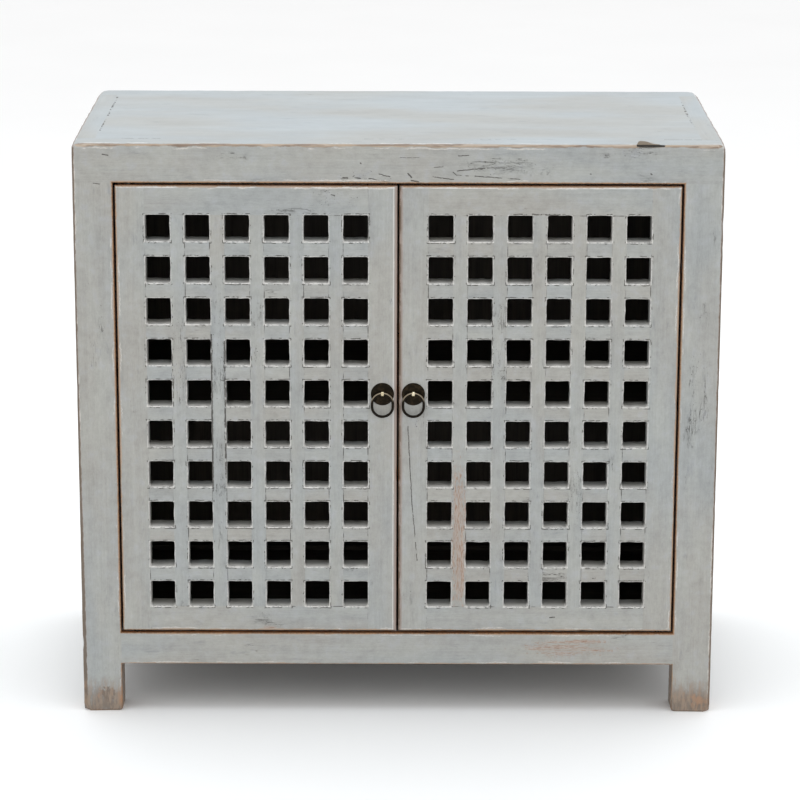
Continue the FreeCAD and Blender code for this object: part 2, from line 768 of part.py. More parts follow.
def make_pull(side, stile):
    """A ring hanging in the eye of a staple, which holds a round plate to the stile."""
    x = mirrored(side, "pull_x", "pull_x")[0]
    hole = "staple_shank / 2 + staple_hole_room"
    stile.bore("y", (x, "door_back + overrun", "eye_z"), hole, "door_thickness + 2 * overrun")

    outline = (
        ("0", "0"),
        ("plate_diameter / 2", "0"),
        ("plate_diameter / 2", "plate_rim - plate_bevel"),
        ("plate_diameter / 2 - plate_bevel", "plate_rim"),
        ("0", "plate_thickness"),
    )
    plate = turned(f"{side}_pull_plate", (x, "front_face", "pull_height"), outline)
    bored = plate.body.newObject("PartDesign::SubtractiveCylinder", f"{side}_pull_plate_hole")
    bored.setExpression("Placement.Base.y", formula("eye_rise"))
    bored.setExpression("Placement.Base.z", formula("-overrun"))
    bored.setExpression("Radius", formula(hole))
    bored.setExpression("Height", formula("plate_thickness + 2 * overrun"))
    plate.body.Tip = bored

    eye_place = (x, "eye_y", "eye_z")
    staple = Piece(f"{side}_pull_staple", eye_place)
    staple.loop(eye_place, "eye_radius", "staple_wire / 2")
    staple.rod("y", (x, "staple_back", "eye_z"), "staple_shank / 2", "staple_back - eye_y - eye_radius")
    staple.rod(
        "z",
        (x, "staple_back", "eye_z - staple_end_length"),
        "staple_wire / 2",
        "2 * staple_end_length",
    )

    ring = Piece(f"{side}_pull_ring", eye_place)
    upper = "eye_z - ring_radius"
    lower = f"{upper} - ring_straight"
    ring.half_loop("above", (x, "eye_y", upper))
    ring.half_loop("below", (x, "eye_y", lower))
    for wire_x in spread(x, "ring_radius"):
        ring.rod("z", (wire_x, "eye_y", lower), "ring_wire / 2", "ring_straight")


def make_cabinet():
    posts = make_posts()
    top_rails = make_top_frame(posts)
    bottom_rails = make_bottom_frame(posts)
    make_side_panels(posts, top_rails, bottom_rails)
    make_back(posts, top_rails, bottom_rails)
    make_top(top_rails)
    make_floor(bottom_rails)
    make_shelf(posts)
    make_door_stop()
    for side in SIDES:
        make_door(side, top_rails["front"], bottom_rails["front"])


def check_objects():
    """Stop if any feature failed or any piece has no sound shape."""
    for item in document.Objects:
        if "Invalid" in item.State or "Error" in item.State:
            raise RuntimeError(f"{item.Name} failed: {item.State}")
    for body in nodes:
        if body.Shape.isNull() or not body.Shape.isValid() or not body.Shape.Solids:
            raise RuntimeError(f"{body.Label} has no sound shape")


def export_nodes():
    os.makedirs("parts", exist_ok=True)
    for body in nodes:
        body.Shape.exportStep(f"parts/{body.Label}.step")
        volume = body.Shape.Volume / CUBIC_MM_IN_A_CUBIC_CM
        print(f"{body.Label}: {len(body.Shape.Solids)} solid, {volume:.1f} cm3")


make_cabinet()
document.recompute()
check_objects()
export_nodes()
print(f"{len(nodes)} nodes")
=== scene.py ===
"""A painted book cabinet with two lattice doors, dressed and set out for its photograph.

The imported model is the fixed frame. Each timber is its own node with eased, uneven edges, the
lattice bars are laid out by rule, and the paint is old, rubbed through along the edges.
"""

import math

import bmesh
import bpy
import numpy as np
from mathutils import Matrix, Vector, noise


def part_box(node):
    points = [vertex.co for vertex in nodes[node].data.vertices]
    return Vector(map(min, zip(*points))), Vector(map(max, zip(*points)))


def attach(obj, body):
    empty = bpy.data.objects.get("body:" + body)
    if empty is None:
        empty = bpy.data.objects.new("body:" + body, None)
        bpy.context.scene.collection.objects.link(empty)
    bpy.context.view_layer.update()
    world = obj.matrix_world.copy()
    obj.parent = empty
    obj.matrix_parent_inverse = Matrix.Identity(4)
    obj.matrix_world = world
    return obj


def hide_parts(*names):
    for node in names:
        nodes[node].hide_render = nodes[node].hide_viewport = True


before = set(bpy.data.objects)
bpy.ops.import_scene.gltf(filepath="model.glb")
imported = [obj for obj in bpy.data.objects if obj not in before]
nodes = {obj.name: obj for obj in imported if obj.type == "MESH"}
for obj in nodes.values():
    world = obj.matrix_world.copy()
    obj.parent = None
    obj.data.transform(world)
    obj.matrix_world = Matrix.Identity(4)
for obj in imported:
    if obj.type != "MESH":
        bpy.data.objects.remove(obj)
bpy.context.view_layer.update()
scene = bpy.context.scene

# Sizes in metres, the same as the part's own
HALF_WIDTH = 0.475
HALF_DEPTH = 0.230
FRONT = -HALF_DEPTH
HEIGHT = 0.875
OPENING_SIDE = 0.4165
OPENING_TOP = 0.8183
OPENING_BOTTOM = 0.1254
LEG_HEIGHT = 0.076
DOOR_BACK = -0.194
DOOR_INNER = 0.0015
DOOR_OUTER = 0.41328932
DOOR_LOW = 0.1294
DOOR_HIGH = 0.8143
FIELD_NEAR = 0.04425
FIELD_FAR = 0.37053932
FIELD_LOW = 0.1679
FIELD_HIGH = 0.7703
UPRIGHTS = 5
CROSSBARS = 9
UPRIGHT_WIDTH = 0.0215
CROSSBAR_HEIGHT = 0.023
LATTICE_DEPTH = 0.034
TOP_SIDE = 0.4445
TOP_END = 0.185
PLANK_SEAM = 0.127
BOTTOM_RAIL_END = 0.182
INSIDE_SIDE = 0.4571
INSIDE_FRONT = -0.1965
INSIDE_BACK = 0.2125
INSIDE_LOW = 0.1030
INSIDE_HIGH = 0.8592
PULL_ACROSS = 0.022875
RING_MIDDLE = 0.4868
RING_RADIUS = 0.0154
HOLE_WIDTH = (FIELD_FAR - FIELD_NEAR - UPRIGHTS * UPRIGHT_WIDTH) / (UPRIGHTS + 1)
HOLE_HEIGHT = (FIELD_HIGH - FIELD_LOW - CROSSBARS * CROSSBAR_HEIGHT) / (CROSSBARS + 1)
COLUMN_PITCH = HOLE_WIDTH + UPRIGHT_WIDTH
ROW_PITCH = HOLE_HEIGHT + CROSSBAR_HEIGHT
FIRST_COLUMN = FIELD_NEAR + HOLE_WIDTH / 2
FIRST_ROW = FIELD_LOW + HOLE_HEIGHT / 2

SIDES = {"left": -1, "right": 1}
SAME = 1e-5
FAR = 1.0
FLAT = 0.9995
NEAR_JOINT = 0.006
FLUSH_EASE = 0.08
EASE_REACH = 0.0055
WIDEST_EASE = 0.0095
BAR_STEP = 0.004


# Node trees


class Value:
    """What a socket gives, so that a pattern is written as a sum."""

    def __init__(self, tree, socket):
        self.tree, self.socket = tree, socket

    def __add__(self, other):
        return self.tree.math("ADD", self, other)

    def __radd__(self, other):
        return self.tree.math("ADD", other, self)

    def __sub__(self, other):
        return self.tree.math("SUBTRACT", self, other)

    def __rsub__(self, other):
        return self.tree.math("SUBTRACT", other, self)

    def __mul__(self, other):
        return self.tree.math("MULTIPLY", self, other)

    def __truediv__(self, other):
        return self.tree.math("DIVIDE", self, other)

    def __abs__(self):
        return self.tree.math("ABSOLUTE", self)


class Tree:
    """Adds nodes to a tree and joins them."""

    def __init__(self, tree):
        self.tree = tree
        self.place = None

    def feed(self, socket, value):
        if isinstance(value, Value):
            value = value.socket
        if isinstance(value, bpy.types.NodeSocket):
            self.tree.links.new(value, socket)
        else:
            socket.default_value = value

    def add(self, kind, *values, **settings):
        """A node with its settings, its inputs given in order or as (name, value) pairs."""
        node = self.tree.nodes.new(kind)
        for key, value in settings.items():
            setattr(node, key, value)
        for index, value in enumerate(values):
            if isinstance(value, tuple) and value and isinstance(value[0], str):
                self.feed(node.inputs[value[0]], value[1])
            elif value is not None:
                self.feed(node.inputs[index], value)
        return node

    def made(self, kind, *values, output=0, **settings):
        """What an output of a new node gives."""
        return Value(self, self.add(kind, *values, **settings).outputs[output])

    def group(self, group):
        """What a group in the tree gives, by name."""
        node = self.add("ShaderNodeGroup", node_tree=group)
        return {socket.name: Value(self, socket) for socket in node.outputs}

    def here(self):
        """The point's own place in the object."""
        if self.place is None:
            self.place = self.made("ShaderNodeTexCoord", output="Object")
        return self.place

    def math(self, operation, *values):
        return self.made("ShaderNodeMath", *values, operation=operation)

    def vector(self, operation, *values):
        return self.made("ShaderNodeVectorMath", *values, operation=operation)

    def least(self, first, *others):
        for other in others:
            first = self.math("MINIMUM", first, other)
        return first

    def most(self, first, *others):
        for other in others:
            first = self.math("MAXIMUM", first, other)
        return first

    def distance(self, across, up):
        """How far off a point is that lies this far across and up."""
        return self.math("SQRT", across * across + up * up)

    def ramp(self, value, start, end, low=0.0, high=1.0, kind="SMOOTHSTEP"):
        """The value carried from start..end onto low..high, eased and held at both ends."""
        return self.made("ShaderNodeMapRange", value, start, end, low, high, interpolation_type=kind)

    def blend(self, share, a, b, kind="MIX"):
        """Two colours mixed by a share."""
        node = self.add("ShaderNodeMix", data_type="RGBA", blend_type=kind)
        for index, value in ((0, share), (6, a), (7, b)):
            self.feed(node.inputs[index], value)
        return Value(self, node.outputs[2])

    def split(self, vector):
        node = self.add("ShaderNodeSeparateXYZ", vector)
        return [Value(self, socket) for socket in node.outputs]

    def joined(self, x, y, z):
        return self.made("ShaderNodeCombineXYZ", x, y, z)

    def grainy(self, vector, across, along, detail=2.0, seed=0.0, rough=0.5, warp=0.0):
        """Noise in a space whose z runs along the grain, with spots across by along metres."""
        scaled = self.vector("MULTIPLY", vector, (1 / across, 1 / across, 1 / along))
        moved = self.vector("ADD", scaled, (seed, 1.7 * seed, 2.3 * seed))
        return self.made(
            "ShaderNodeTexNoise",
            ("Vector", moved),
            ("Scale", 1.0),
            ("Detail", detail),
            ("Roughness", rough),
            ("Distortion", warp),
        )

    def spots(self, size, detail, seed, rough=0.5):
        """Noise with spots of one size every way."""
        return self.grainy(self.here(), size, size, detail, seed, rough)

    def give(self, **values):
        """Feeds the group's outputs, named by these words, and gives the finished group."""
        outputs = {label.replace("_", " "): value for label, value in values.items()}
        for label in outputs:
            kind = SOCKET_KINDS.get(label, "Float")
            self.tree.interface.new_socket(label, in_out="OUTPUT", socket_type=f"NodeSocket{kind}")
        result = self.add("NodeGroupOutput").inputs
        for label, value in outputs.items():
            self.feed(result[label], value)
        return self.tree


def srgb(red, green, blue):
    """A colour from its screen values, 0 to 255."""
    shares = (value / 255 for value in (red, green, blue))
    return (*(s / 12.92 if s <= 0.04045 else ((s + 0.055) / 1.055) ** 2.4 for s in shares), 1.0)


SOCKET_KINDS = {
    "Color": "Color",
    "Geometry": "Geometry",
    "Grain": "Vector",
    "Material": "Material",
    "Place": "Vector",
}


def new_group(name, kind="ShaderNodeTree", **inputs):
    """A node group with inputs named by these words, each with its usual value or None."""
    group = bpy.data.node_groups.new(name, kind)
    for label, value in inputs.items():
        label = label.replace("_", " ")
        socket = SOCKET_KINDS.get(label, "Int" if isinstance(value, int) else "Float")
        made = group.interface.new_socket(label, in_out="INPUT", socket_type=f"NodeSocket{socket}")
        if value is not None:
            made.default_value = value
    t = Tree(group)
    node = t.add("NodeGroupInput")
    return t, {socket.name: Value(t, socket) for socket in node.outputs if socket.name}


# Where a point lies


def edge_distance_group():
    """How far a point of a timber is from the nearest long edge, by its own low and high corner."""
    t, _ = new_group("distance to the edge")
    low, high = (
        t.made("ShaderNodeAttribute", attribute_name=name, output="Vector") for name in ("low", "high")
    )
    above = t.vector("SUBTRACT", t.here(), low)
    x, y, z = t.split(t.vector("MINIMUM", above, t.vector("SUBTRACT", high, t.here())))
    middle = t.most(t.least(x, y), t.least(t.most(x, y), z))
    return t.give(Distance=t.most(middle, 0.0))


def opening_distance_group():
    """How far a point of the frame is from the front edges round the doors and between the legs."""
    t, _ = new_group("distance to the opening")
    x, y, z = t.split(t.here())
    beside = abs(x) - OPENING_SIDE
    doors = t.most(beside, z - OPENING_TOP, OPENING_BOTTOM - z)
    legs = t.most(beside, z - LEG_HEIGHT)
    deep = y - FRONT
    distance = t.most(t.least(doors, legs + 0.0006), deep * 0.35, 0.0)
    facing = t.ramp(doors, 0.0010, 0.0004) * rubbed_bare(t, deep)
    return t.give(Distance=distance, Facing_it=facing * t.ramp(deep, 0.060, 0.050))


def rubbed_bare(t, deep):
    """How bare a face in a gap round a door is, by its depth: rubbed at the front, painted behind."""
    uneven = (t.spots(0.012, 4.0, 28.0, 0.6) - 0.5) * 0.012
    behind = t.ramp(deep + uneven, 0.0115, 0.0065, 0.10, 1.0)
    return t.ramp(deep, 0.0010, 0.0024) * behind


def hole_distance_group():
    """Where a point of a door lies by its nearest hole, and how far it is from the bars' seams."""
    t, _ = new_group("distance to a hole")
    x, y, z = t.split(t.here())
    far = abs(x)
    across = abs(to_nearest(t, far, FIRST_COLUMN, COLUMN_PITCH, UPRIGHTS)) - HOLE_WIDTH / 2
    rise = to_nearest(t, z, FIRST_ROW, ROW_PITCH, CROSSBARS)
    up = abs(rise) - HOLE_HEIGHT / 2
    deep = y - FRONT
    beside = t.most(across, up)
    # low and high mark a hole's lower and upper rims; Beneath steers a painted highlight onto the lower
    # rims and painted shade onto the upper ones
    low = t.ramp(0.0 - rise, HOLE_HEIGHT / 2 - 0.003, HOLE_HEIGHT / 2 + 0.0003)
    high = t.ramp(rise, HOLE_HEIGHT / 2 - 0.002, HOLE_HEIGHT / 2 + 0.0003)
    # Reveal is painted light: the walls of each hole are painted pale near the front, as if lit there,
    # fading into shade towards the back
    within = t.ramp(beside, 0.0012, 0.0006) * t.ramp(deep, 0.0004, 0.0016)
    stile = t.least(abs(far - FIELD_NEAR), abs(far - FIELD_FAR))
    outside = t.most(z - FIELD_HIGH, FIELD_LOW - z)
    bar_end = t.most(abs(across), 0.0 - up, outside)
    bar_foot = t.most(abs(outside), 0.0 - across)
    bar_foot = t.most(bar_foot, far - FIELD_FAR, FIELD_NEAR - far)
    between = t.most(stile, 0.0 - beside)
    return t.give(
        Rim=t.most(beside, deep, 0.0),
        Beneath=low - high,
        Reveal=within * t.ramp(deep, 0.026, 0.001),
        Seam=t.most(t.least(bar_end, bar_foot, between + 0.0005), deep),
    )


def to_nearest(t, value, first, pitch, last):
    """The way from the nearest of a row of evenly spaced centres, numbered from 0 to the last."""
    number = t.math("ROUND", (value - first) / pitch)
    number = t.most(t.least(number, float(last)), 0.0)
    return value - first - number * pitch


def patch_group():
    """A soft-edged oval patch, for one rubbed or stained place."""
    t, given = new_group(
        "patch", Place=None, Across=0.0, Up=0.0, Half_width=0.01, Half_height=0.01, Strength=1.0
    )
    place, across, up, half_width, half_height, strength = given.values()
    x, z, _ = t.split(place)
    far = t.distance((x - across) / half_width, (z - up) / half_height)
    torn = t.grainy(t.here(), 0.005, 0.009, 4.0, 5.1, 0.65) - 0.5
    return t.give(Share=t.ramp(far + torn * 1.8, 1.25, 0.55) * strength)


def crack_group():
    """One long crack in the paint: a broken, wavering line between two points."""
    t, given = new_group(
        "crack", Place=None, Across=0.0, Up=0.0, To_across=0.1, To_up=0.0, Half_width=0.0006, Broken=0.5
    )
    place, across, up, to_across, to_up, half_width, broken = given.values()
    x, z, _ = t.split(place)
    along_x, along_z = to_across - across, to_up - up
    from_x, from_z = x - across, z - up
    square = along_x * along_x + along_z * along_z
    part = from_x * along_x + from_z * along_z
    part = t.most(t.least(part / square, 1.0), 0.0)
    off_x, off_z = from_x - part * along_x, from_z - part * along_z
    waver = (t.spots(0.007, 3.0, 17.0, 0.6) - 0.5) * 0.0030
    away = t.distance(off_x + waver, off_z + waver)
    line = t.ramp(away, half_width * 1.3, half_width * 0.5)
    gate = t.spots(0.010, 4.0, 18.0, 0.6) - broken * 0.4
    return t.give(Share=line * t.ramp(gate, 0.26, 0.33))


# Paint


def old_paint_group():
    """Thin grey paint over a pale primer and orange wood, brushed along the grain and cracked."""
    t, given = new_group(
        "old paint", Grain=None, Edge=1.0, Edge_wear=1.0, Rim=1.0, Beneath=0.0, Reveal=0.0, Seam=1.0,
        Rubbed=0.0, Handled=0.0, Bare=0.0, Washed=0.0, Smooth=0.0, Primed=0.0, Cracked=0.3, Cracks=0.0,
        Soiled=0.0,
    )
    grain = given["Grain"]
    rim = given["Rim"]

    cloud = t.grainy(grain, 0.11, 0.30, 3.0, 1.0)
    drift = t.grainy(grain, 0.035, 0.12, 4.0, 2.0, 0.6)
    brush = t.grainy(grain, 0.0030, 0.11, 3.0, 3.0, 0.6)
    bristle = t.grainy(grain, 0.0013, 0.010, 3.0, 4.0, 0.6)
    grit = t.spots(0.0022, 3.0, 24.0, 0.6)
    blotch = t.spots(0.016, 5.0, 16.0, 0.68)
    tone = t.blend(t.ramp(cloud, 0.36, 0.64), srgb(163, 161, 155), srgb(157, 160, 159))
    smooth = given["Smooth"]
    tinted = t.ramp(smooth, 0.0, 1.0, 1.0, 0.35)
    tone = t.blend(t.ramp(drift, 0.42, 0.66) * 0.45 * tinted, tone, srgb(160, 161, 155))
    tone = t.blend(t.ramp(blotch, 0.52, 0.68) * 0.38 * tinted, tone, srgb(154, 156, 161))
    fine = (brush - 0.5) * 0.26 + (bristle - 0.5) * 0.30 + (grit - 0.5) * 0.18
    fine = fine + (blotch - 0.5) * 0.50
    wide = (drift - 0.5) * 0.42 * t.ramp(smooth, 0.0, 1.0, 1.0, 0.6)
    wide = wide + (cloud - 0.5) * t.ramp(smooth, 0.0, 1.0, 0.12, 0.5)
    light = fine * t.ramp(smooth, 0.0, 1.0, 1.0, 0.28) + wide
    tone = t.vector("SCALE", tone, None, None, ("Scale", light + 1.0))

    # Painted light: the hole walls are paler near the front, as if lit there, and shaded behind
    tone = t.blend(given["Reveal"] * 0.85, tone, srgb(214, 212, 208))
    # A pale line round each hole's rim, partly paint built up on the rim and partly a painted highlight,
    # stronger on the lower rims that face the light from above
    gate = t.spots(0.0045, 3.0, 6.0)
    pale = t.ramp(rim, 0.0021, 0.0006) * t.ramp(gate, 0.38, 0.52)
    rough_place = t.spots(0.060, 3.0, 12.0, 0.6)
    pale = pale * (0.22 + rough_place * 0.6 + t.most(given["Beneath"], 0.0) * 0.32)
    pale = t.most(t.least(pale, 1.0), 0.0, given["Primed"])
    tone = t.blend(pale, tone, srgb(226, 224, 219))

    cluster = t.grainy(grain, 0.030, 0.075, 3.0, 7.0, 0.6)
    cracked = t.ramp(cluster + given["Cracked"] * 0.4, 0.66, 0.78)
    ridge = t.grainy(grain, 0.0075, 0.085, 4.0, 8.0, 0.62, 0.5)
    crack = t.ramp(abs(ridge - 0.5), 0.014, 0.004)
    hair = t.grainy(grain, 0.0030, 0.030, 3.0, 9.0, 0.6, 0.3)
    hair = t.ramp(abs(hair - 0.48), 0.012, 0.003)
    crack = t.most(crack, hair * 0.7) * cracked

    speck = t.spots(0.0022, 2.0, 10.0)
    speck = t.ramp(speck, 0.68, 0.73) * t.ramp(cluster + given["Cracked"], 0.80, 0.96)

    wave = (t.spots(0.006, 3.0, 11.0) - 0.5) * 0.0026
    dash = t.ramp(abs(rim - 0.0022 - wave), 0.0009, 0.0003)
    often = t.spots(0.0075, 3.0, 19.0, 0.6) + rough_place * 0.35
    often = often + abs(given["Beneath"]) * 0.08
    dash = dash * t.ramp(often, 0.75, 0.81)
    # Painted shade: dark marks, broken up like torn paint, only on the top rims of the holes, whose eased
    # edges face down away from the light
    torn = t.ramp(t.spots(0.0034, 3.0, 20.0, 0.6) + rough_place * 0.5, 0.78, 0.88)
    torn = torn * (t.ramp(rim, 0.0012, 0.0001) * t.ramp(given["Beneath"], -0.2, -0.9))

    seam_gate = t.grainy(t.here(), 0.018, 0.026, 4.0, 13.0, 0.62) + rough_place * 0.25
    seam = t.ramp(given["Seam"], t.ramp(seam_gate, 0.62, 0.80) * 0.0012, 0.0)
    seam = seam * t.ramp(seam_gate, 0.62, 0.72)

    smudge = t.ramp(t.grainy(grain, 0.012, 0.045, 4.0, 21.0, 0.65), 0.60, 0.74) * 0.30
    tone = t.blend(smudge, tone, srgb(112, 116, 122))
    dark = t.most(crack, speck, dash, seam, given["Cracks"], torn * 0.9)
    tone = t.blend(dark * 0.86, tone, srgb(58, 53, 48))

    along = t.spots(0.028, 4.0, 14.0, 0.62)
    fray = t.spots(0.0034, 3.0, 15.0, 0.6)
    edge = given["Edge"]
    uneven = (fray - 0.5) * t.ramp(given["Washed"], 0.0, 1.0, 0.0026, 0.0010)
    reach = t.ramp(along, 0.34, 0.66) * 0.0016 + uneven
    reach = (reach + 0.0013) * given["Edge wear"]
    worn = t.ramp(edge - reach, 0.0006, -0.0010) * 0.9
    primer = t.ramp(abs(edge - reach - 0.0014), 0.0010, 0.0003)
    primer = primer * t.ramp(rough_place + (gate - 0.5) * 0.2, 0.50, 0.60, 0.0, 0.6)
    tone = t.blend(primer, tone, srgb(214, 208, 200))
    tan = t.blend(t.ramp(along, 0.42, 0.60), srgb(168, 136, 106), srgb(172, 151, 132))
    brown = t.blend(t.ramp(fray, 0.42, 0.60), srgb(148, 104, 62), srgb(102, 69, 38))
    under = t.blend(t.ramp(edge, 0.0017, 0.0004), tan, brown)
    washed = t.blend(t.ramp(along, 0.40, 0.62), srgb(158, 136, 112), srgb(170, 152, 134))
    washed = t.blend(t.ramp(ridge, 0.40, 0.56), srgb(120, 98, 80), washed)
    tone = t.blend(worn, tone, t.blend(given["Washed"], under, washed))

    streak = (brush - 0.5) * 1.8 + (bristle - 0.5) * 1.1
    rubbed = given["Rubbed"] + (streak + (fray - 0.5) * 0.4)
    rubbed = t.ramp(rubbed, 0.30, 1.10) * t.ramp(given["Rubbed"], 0.0, 0.3)
    beige = t.blend(t.ramp(bristle, 0.45, 0.62), srgb(174, 156, 144), srgb(146, 116, 96))
    tone = t.blend(rubbed * 0.95, tone, beige)
    handled = given["Handled"]
    grip = t.blend(t.ramp(handled, 0.45, 1.0), srgb(150, 136, 128), srgb(98, 84, 70))
    tone = t.blend(t.ramp(handled, 0.0, 0.45) * 0.92, tone, grip)

    drips = t.grainy(grain, 0.0045, 0.020, 4.0, 22.0, 0.65)
    patches = t.grainy(grain, 0.011, 0.022, 3.0, 25.0, 0.6)
    grime = given["Soiled"] + ((drips - 0.5) * 1.3 + (patches - 0.5) * 0.8)
    grime = t.ramp(grime, 0.05, 1.05) * t.ramp(given["Soiled"], 0.0, 0.2)
    mud = t.blend(t.ramp(drips, 0.40, 0.62), srgb(106, 88, 72), srgb(144, 124, 106))
    mud = t.blend(t.ramp(patches, 0.50, 0.74), mud, srgb(158, 118, 86))
    tone = t.blend(grime * 0.86, tone, mud)
    orange = t.blend(t.ramp(brush, 0.40, 0.60), srgb(166, 114, 68), srgb(120, 80, 48))
    tone = t.blend(given["Bare"], tone, orange)
    worn = t.most(worn, rubbed, given["Bare"])

    roughness = 0.52 + (brush - 0.5) * 0.25 + t.most(worn, dark) * 0.22
    height = brush * 0.12 + bristle * 0.08 - (dark * 0.75 + worn * 0.30)
    return t.give(Color=tone, Roughness=roughness, Height=height)


GRAINS = {"x": (1, 2, 0), "y": (2, 0, 1), "z": (0, 1, 2)}


def grain_space(t, axis):
    """Object coordinates turned so that z runs along the grain."""
    place = t.split(t.here())
    return t.joined(*(place[i] for i in GRAINS[axis]))


def surface(material, colour, roughness, height, depth, **constants):
    """Joins a colour, a roughness and a relief to the material's shader."""
    t = Tree(material.node_tree)
    shader = material.node_tree.nodes["Principled BSDF"]
    for label, value in constants.items():
        shader.inputs[label.replace("_", " ")].default_value = value
    t.feed(shader.inputs["Base Color"], colour)
    t.feed(shader.inputs["Roughness"], roughness)
    bump = t.made("ShaderNodeBump", ("Height", height), ("Strength", 1.0), ("Distance", depth))
    t.feed(shader.inputs["Normal"], bump)
    return material


def placed(name, data):
    """A new object in the scene."""
    thing = bpy.data.objects.new(name, data)
    scene.collection.objects.link(thing)
    return thing


def new_material(name):
    material = bpy.data.materials.new(name)
    material.use_nodes = True
    return material, Tree(material.node_tree)


edge_distance = edge_distance_group()
opening_distance = opening_distance_group()
hole_distance = hole_distance_group()
patch = patch_group()
crack = crack_group()
old_paint = old_paint_group()

# Marks of age on the faces seen from the front, for each kind of timber. Places are across and
# up, and the top follows on above the front as if it were folded up. A patch has a place, half
# width, half height and strength. A crack has both ends, half width and how broken it is
LEVEL_MARKS = {
    "Rubbed": [
        (0.254, 0.102, 0.08, 0.015, 0.62),
        (0.285, 0.112, 0.04, 0.005, 0.75),
    ],
    "Soiled": [(0.36, 0.892, 0.016, 0.014, 0.4)],
    "Handled": [(0.366, 0.88, 0.015, 0.005, 1.5)],
    "Cracked": [
        (-0.042, 0.828, 0.045, 0.01, 0.5),
        (0.16, 0.843, 0.08, 0.015, 0.37),
        (-0.3, 0.858, 0.07, 0.01, 0.34),
        (0.33, 0.86, 0.06, 0.008, 0.3),
    ],
    "Cracks": [
        (0.014, 0.8326, 0.019, 0.8274, 0.0014, 0.0),
        (0.019, 0.8226, 0.029, 0.8206, 0.0012, 0.1),
        (0.0795, 0.8354, 0.0844, 0.8303, 0.0007, 0.1),
        (0.0844, 0.8303, 0.1014, 0.8293, 0.0007, 0.4),
        (0.0856, 0.8369, 0.1304, 0.8415, 0.0008, 0.35),
        (0.1304, 0.8415, 0.1571, 0.8415, 0.0006, 0.3),
        (0.111, 0.8291, 0.1765, 0.8247, 0.0007, 0.35),
        (0.05, 0.828, 0.08, 0.824, 0.0008, 0.4),
        (0.0516, 0.8419, 0.0649, 0.843, 0.0005, 0.3),
        (0.0867, 0.8591, 0.1019, 0.8598, 0.0007, 0.2),
        (0.0019, 0.8562, 0.0296, 0.8564, 0.0004, 0.3),
        (-0.0809, 0.8262, -0.0429, 0.8252, 0.0011, 0.5),
        (-0.0429, 0.8252, -0.0153, 0.8205, 0.0008, 0.35),
        (-0.0284, 0.8319, -0.0124, 0.8281, 0.0008, 0.1),
        (-0.0552, 0.8482, -0.0544, 0.8478, 0.001, 0.0),
        (-0.43, 0.86, -0.422, 0.8585, 0.0009, 0.1),
        (0.279, 0.833, 0.28, 0.8326, 0.0009, 0.0),
        (0.3668, 0.833, 0.3682, 0.8322, 0.0011, 0.0),
        (0.351, 0.8785, 0.3815, 0.8775, 0.0012, 0.2),
    ],
}
POST_MARKS = {
    "Cracked": [(0.446, 0.52, 0.018, 0.11, 0.36), (-0.446, 0.62, 0.018, 0.09, 0.34)],
    "Cracks": [(-0.4443, 0.817, -0.435, 0.816, 0.0006, 0.3)],
    "Soiled": [(-0.4385, 0.0251, 0.014, 0.014, 1.2)],
}
DOOR_UPRIGHT_MARKS = {
    "Cracked": [
        (-0.2655, 0.5, 0.014, 0.17, 0.42),
        (-0.3235, 0.54, 0.012, 0.11, 0.36),
        (0.149, 0.56, 0.012, 0.09, 0.36),
        (0.03, 0.5, 0.012, 0.06, 0.36),
        (0.265, 0.33, 0.012, 0.08, 0.34),
        (-0.208, 0.6, 0.01, 0.06, 0.32),
    ],
    "Rubbed": [
        (0.0915, 0.275, 0.0135, 0.13, 0.82),
        (0.095, 0.235, 0.0085, 0.07, 0.9),
        (0.0895, 0.3, 0.006, 0.06, 0.85),
    ],
    "Cracks": [
        (0.015, 0.45, 0.0215, 0.33, 0.0007, 0.2),
        (0.0215, 0.33, 0.03, 0.238, 0.0007, 0.4),
        (-0.2752, 0.59, -0.2752, 0.35, 0.0014, 0.15),
        (-0.2556, 0.58, -0.2556, 0.37, 0.0013, 0.3),
        (-0.333, 0.56, -0.3325, 0.48, 0.0008, 0.5),
        (0.0443, 0.43, 0.0443, 0.29, 0.0006, 0.5),
        (0.1022, 0.62, 0.1022, 0.53, 0.0006, 0.4),
        (0.139, 0.64, 0.139, 0.49, 0.0006, 0.5),
    ],
}
DOOR_LEVEL_MARKS = {
    "Rubbed": [(-0.1919, 0.1349, 0.012, 0.003, 0.8)],
    "Cracked": [
        (0.155, 0.774, 0.05, 0.01, 0.42),
        (-0.09, 0.795, 0.04, 0.016, 0.4),
        (-0.15, 0.775, 0.05, 0.008, 0.34),
        (0.235, 0.215, 0.05, 0.01, 0.44),
        (-0.205, 0.15, 0.02, 0.01, 0.35),
    ],
    "Cracks": [
        (0.195, 0.7725, 0.235, 0.7715, 0.001, 0.3),
        (0.23, 0.151, 0.237, 0.1515, 0.001, 0.1),
        (0.278, 0.212, 0.298, 0.214, 0.0012, 0.7),
        (-0.098, 0.801, -0.093, 0.8, 0.0008, 0.2),
    ],
}
TOP_MARKS = {
    "Cracks": [
        (-0.4434, 1.1, -0.443, 1.279, 0.0017, 0.58),
        (-0.4434, 0.9784, -0.4436, 1.075, 0.0013, 0.62),
        (0.4438, 1.24, 0.4438, 1.13, 0.0015, 0.62),
        (0.442, 1.16, 0.4432, 1.024, 0.0015, 0.58),
        (0.444, 1.1, 0.4442, 1.0, 0.001, 0.66),
        (-0.405, 0.9206, -0.35, 0.9206, 0.0009, 0.3),
        (-0.05, 0.9206, 0.01, 0.9206, 0.0007, 0.6),
        (0.12, 0.9206, 0.18, 0.9206, 0.0007, 0.5),
        (0.39, 0.9206, 0.444, 0.9206, 0.0009, 0.3),
    ],
}


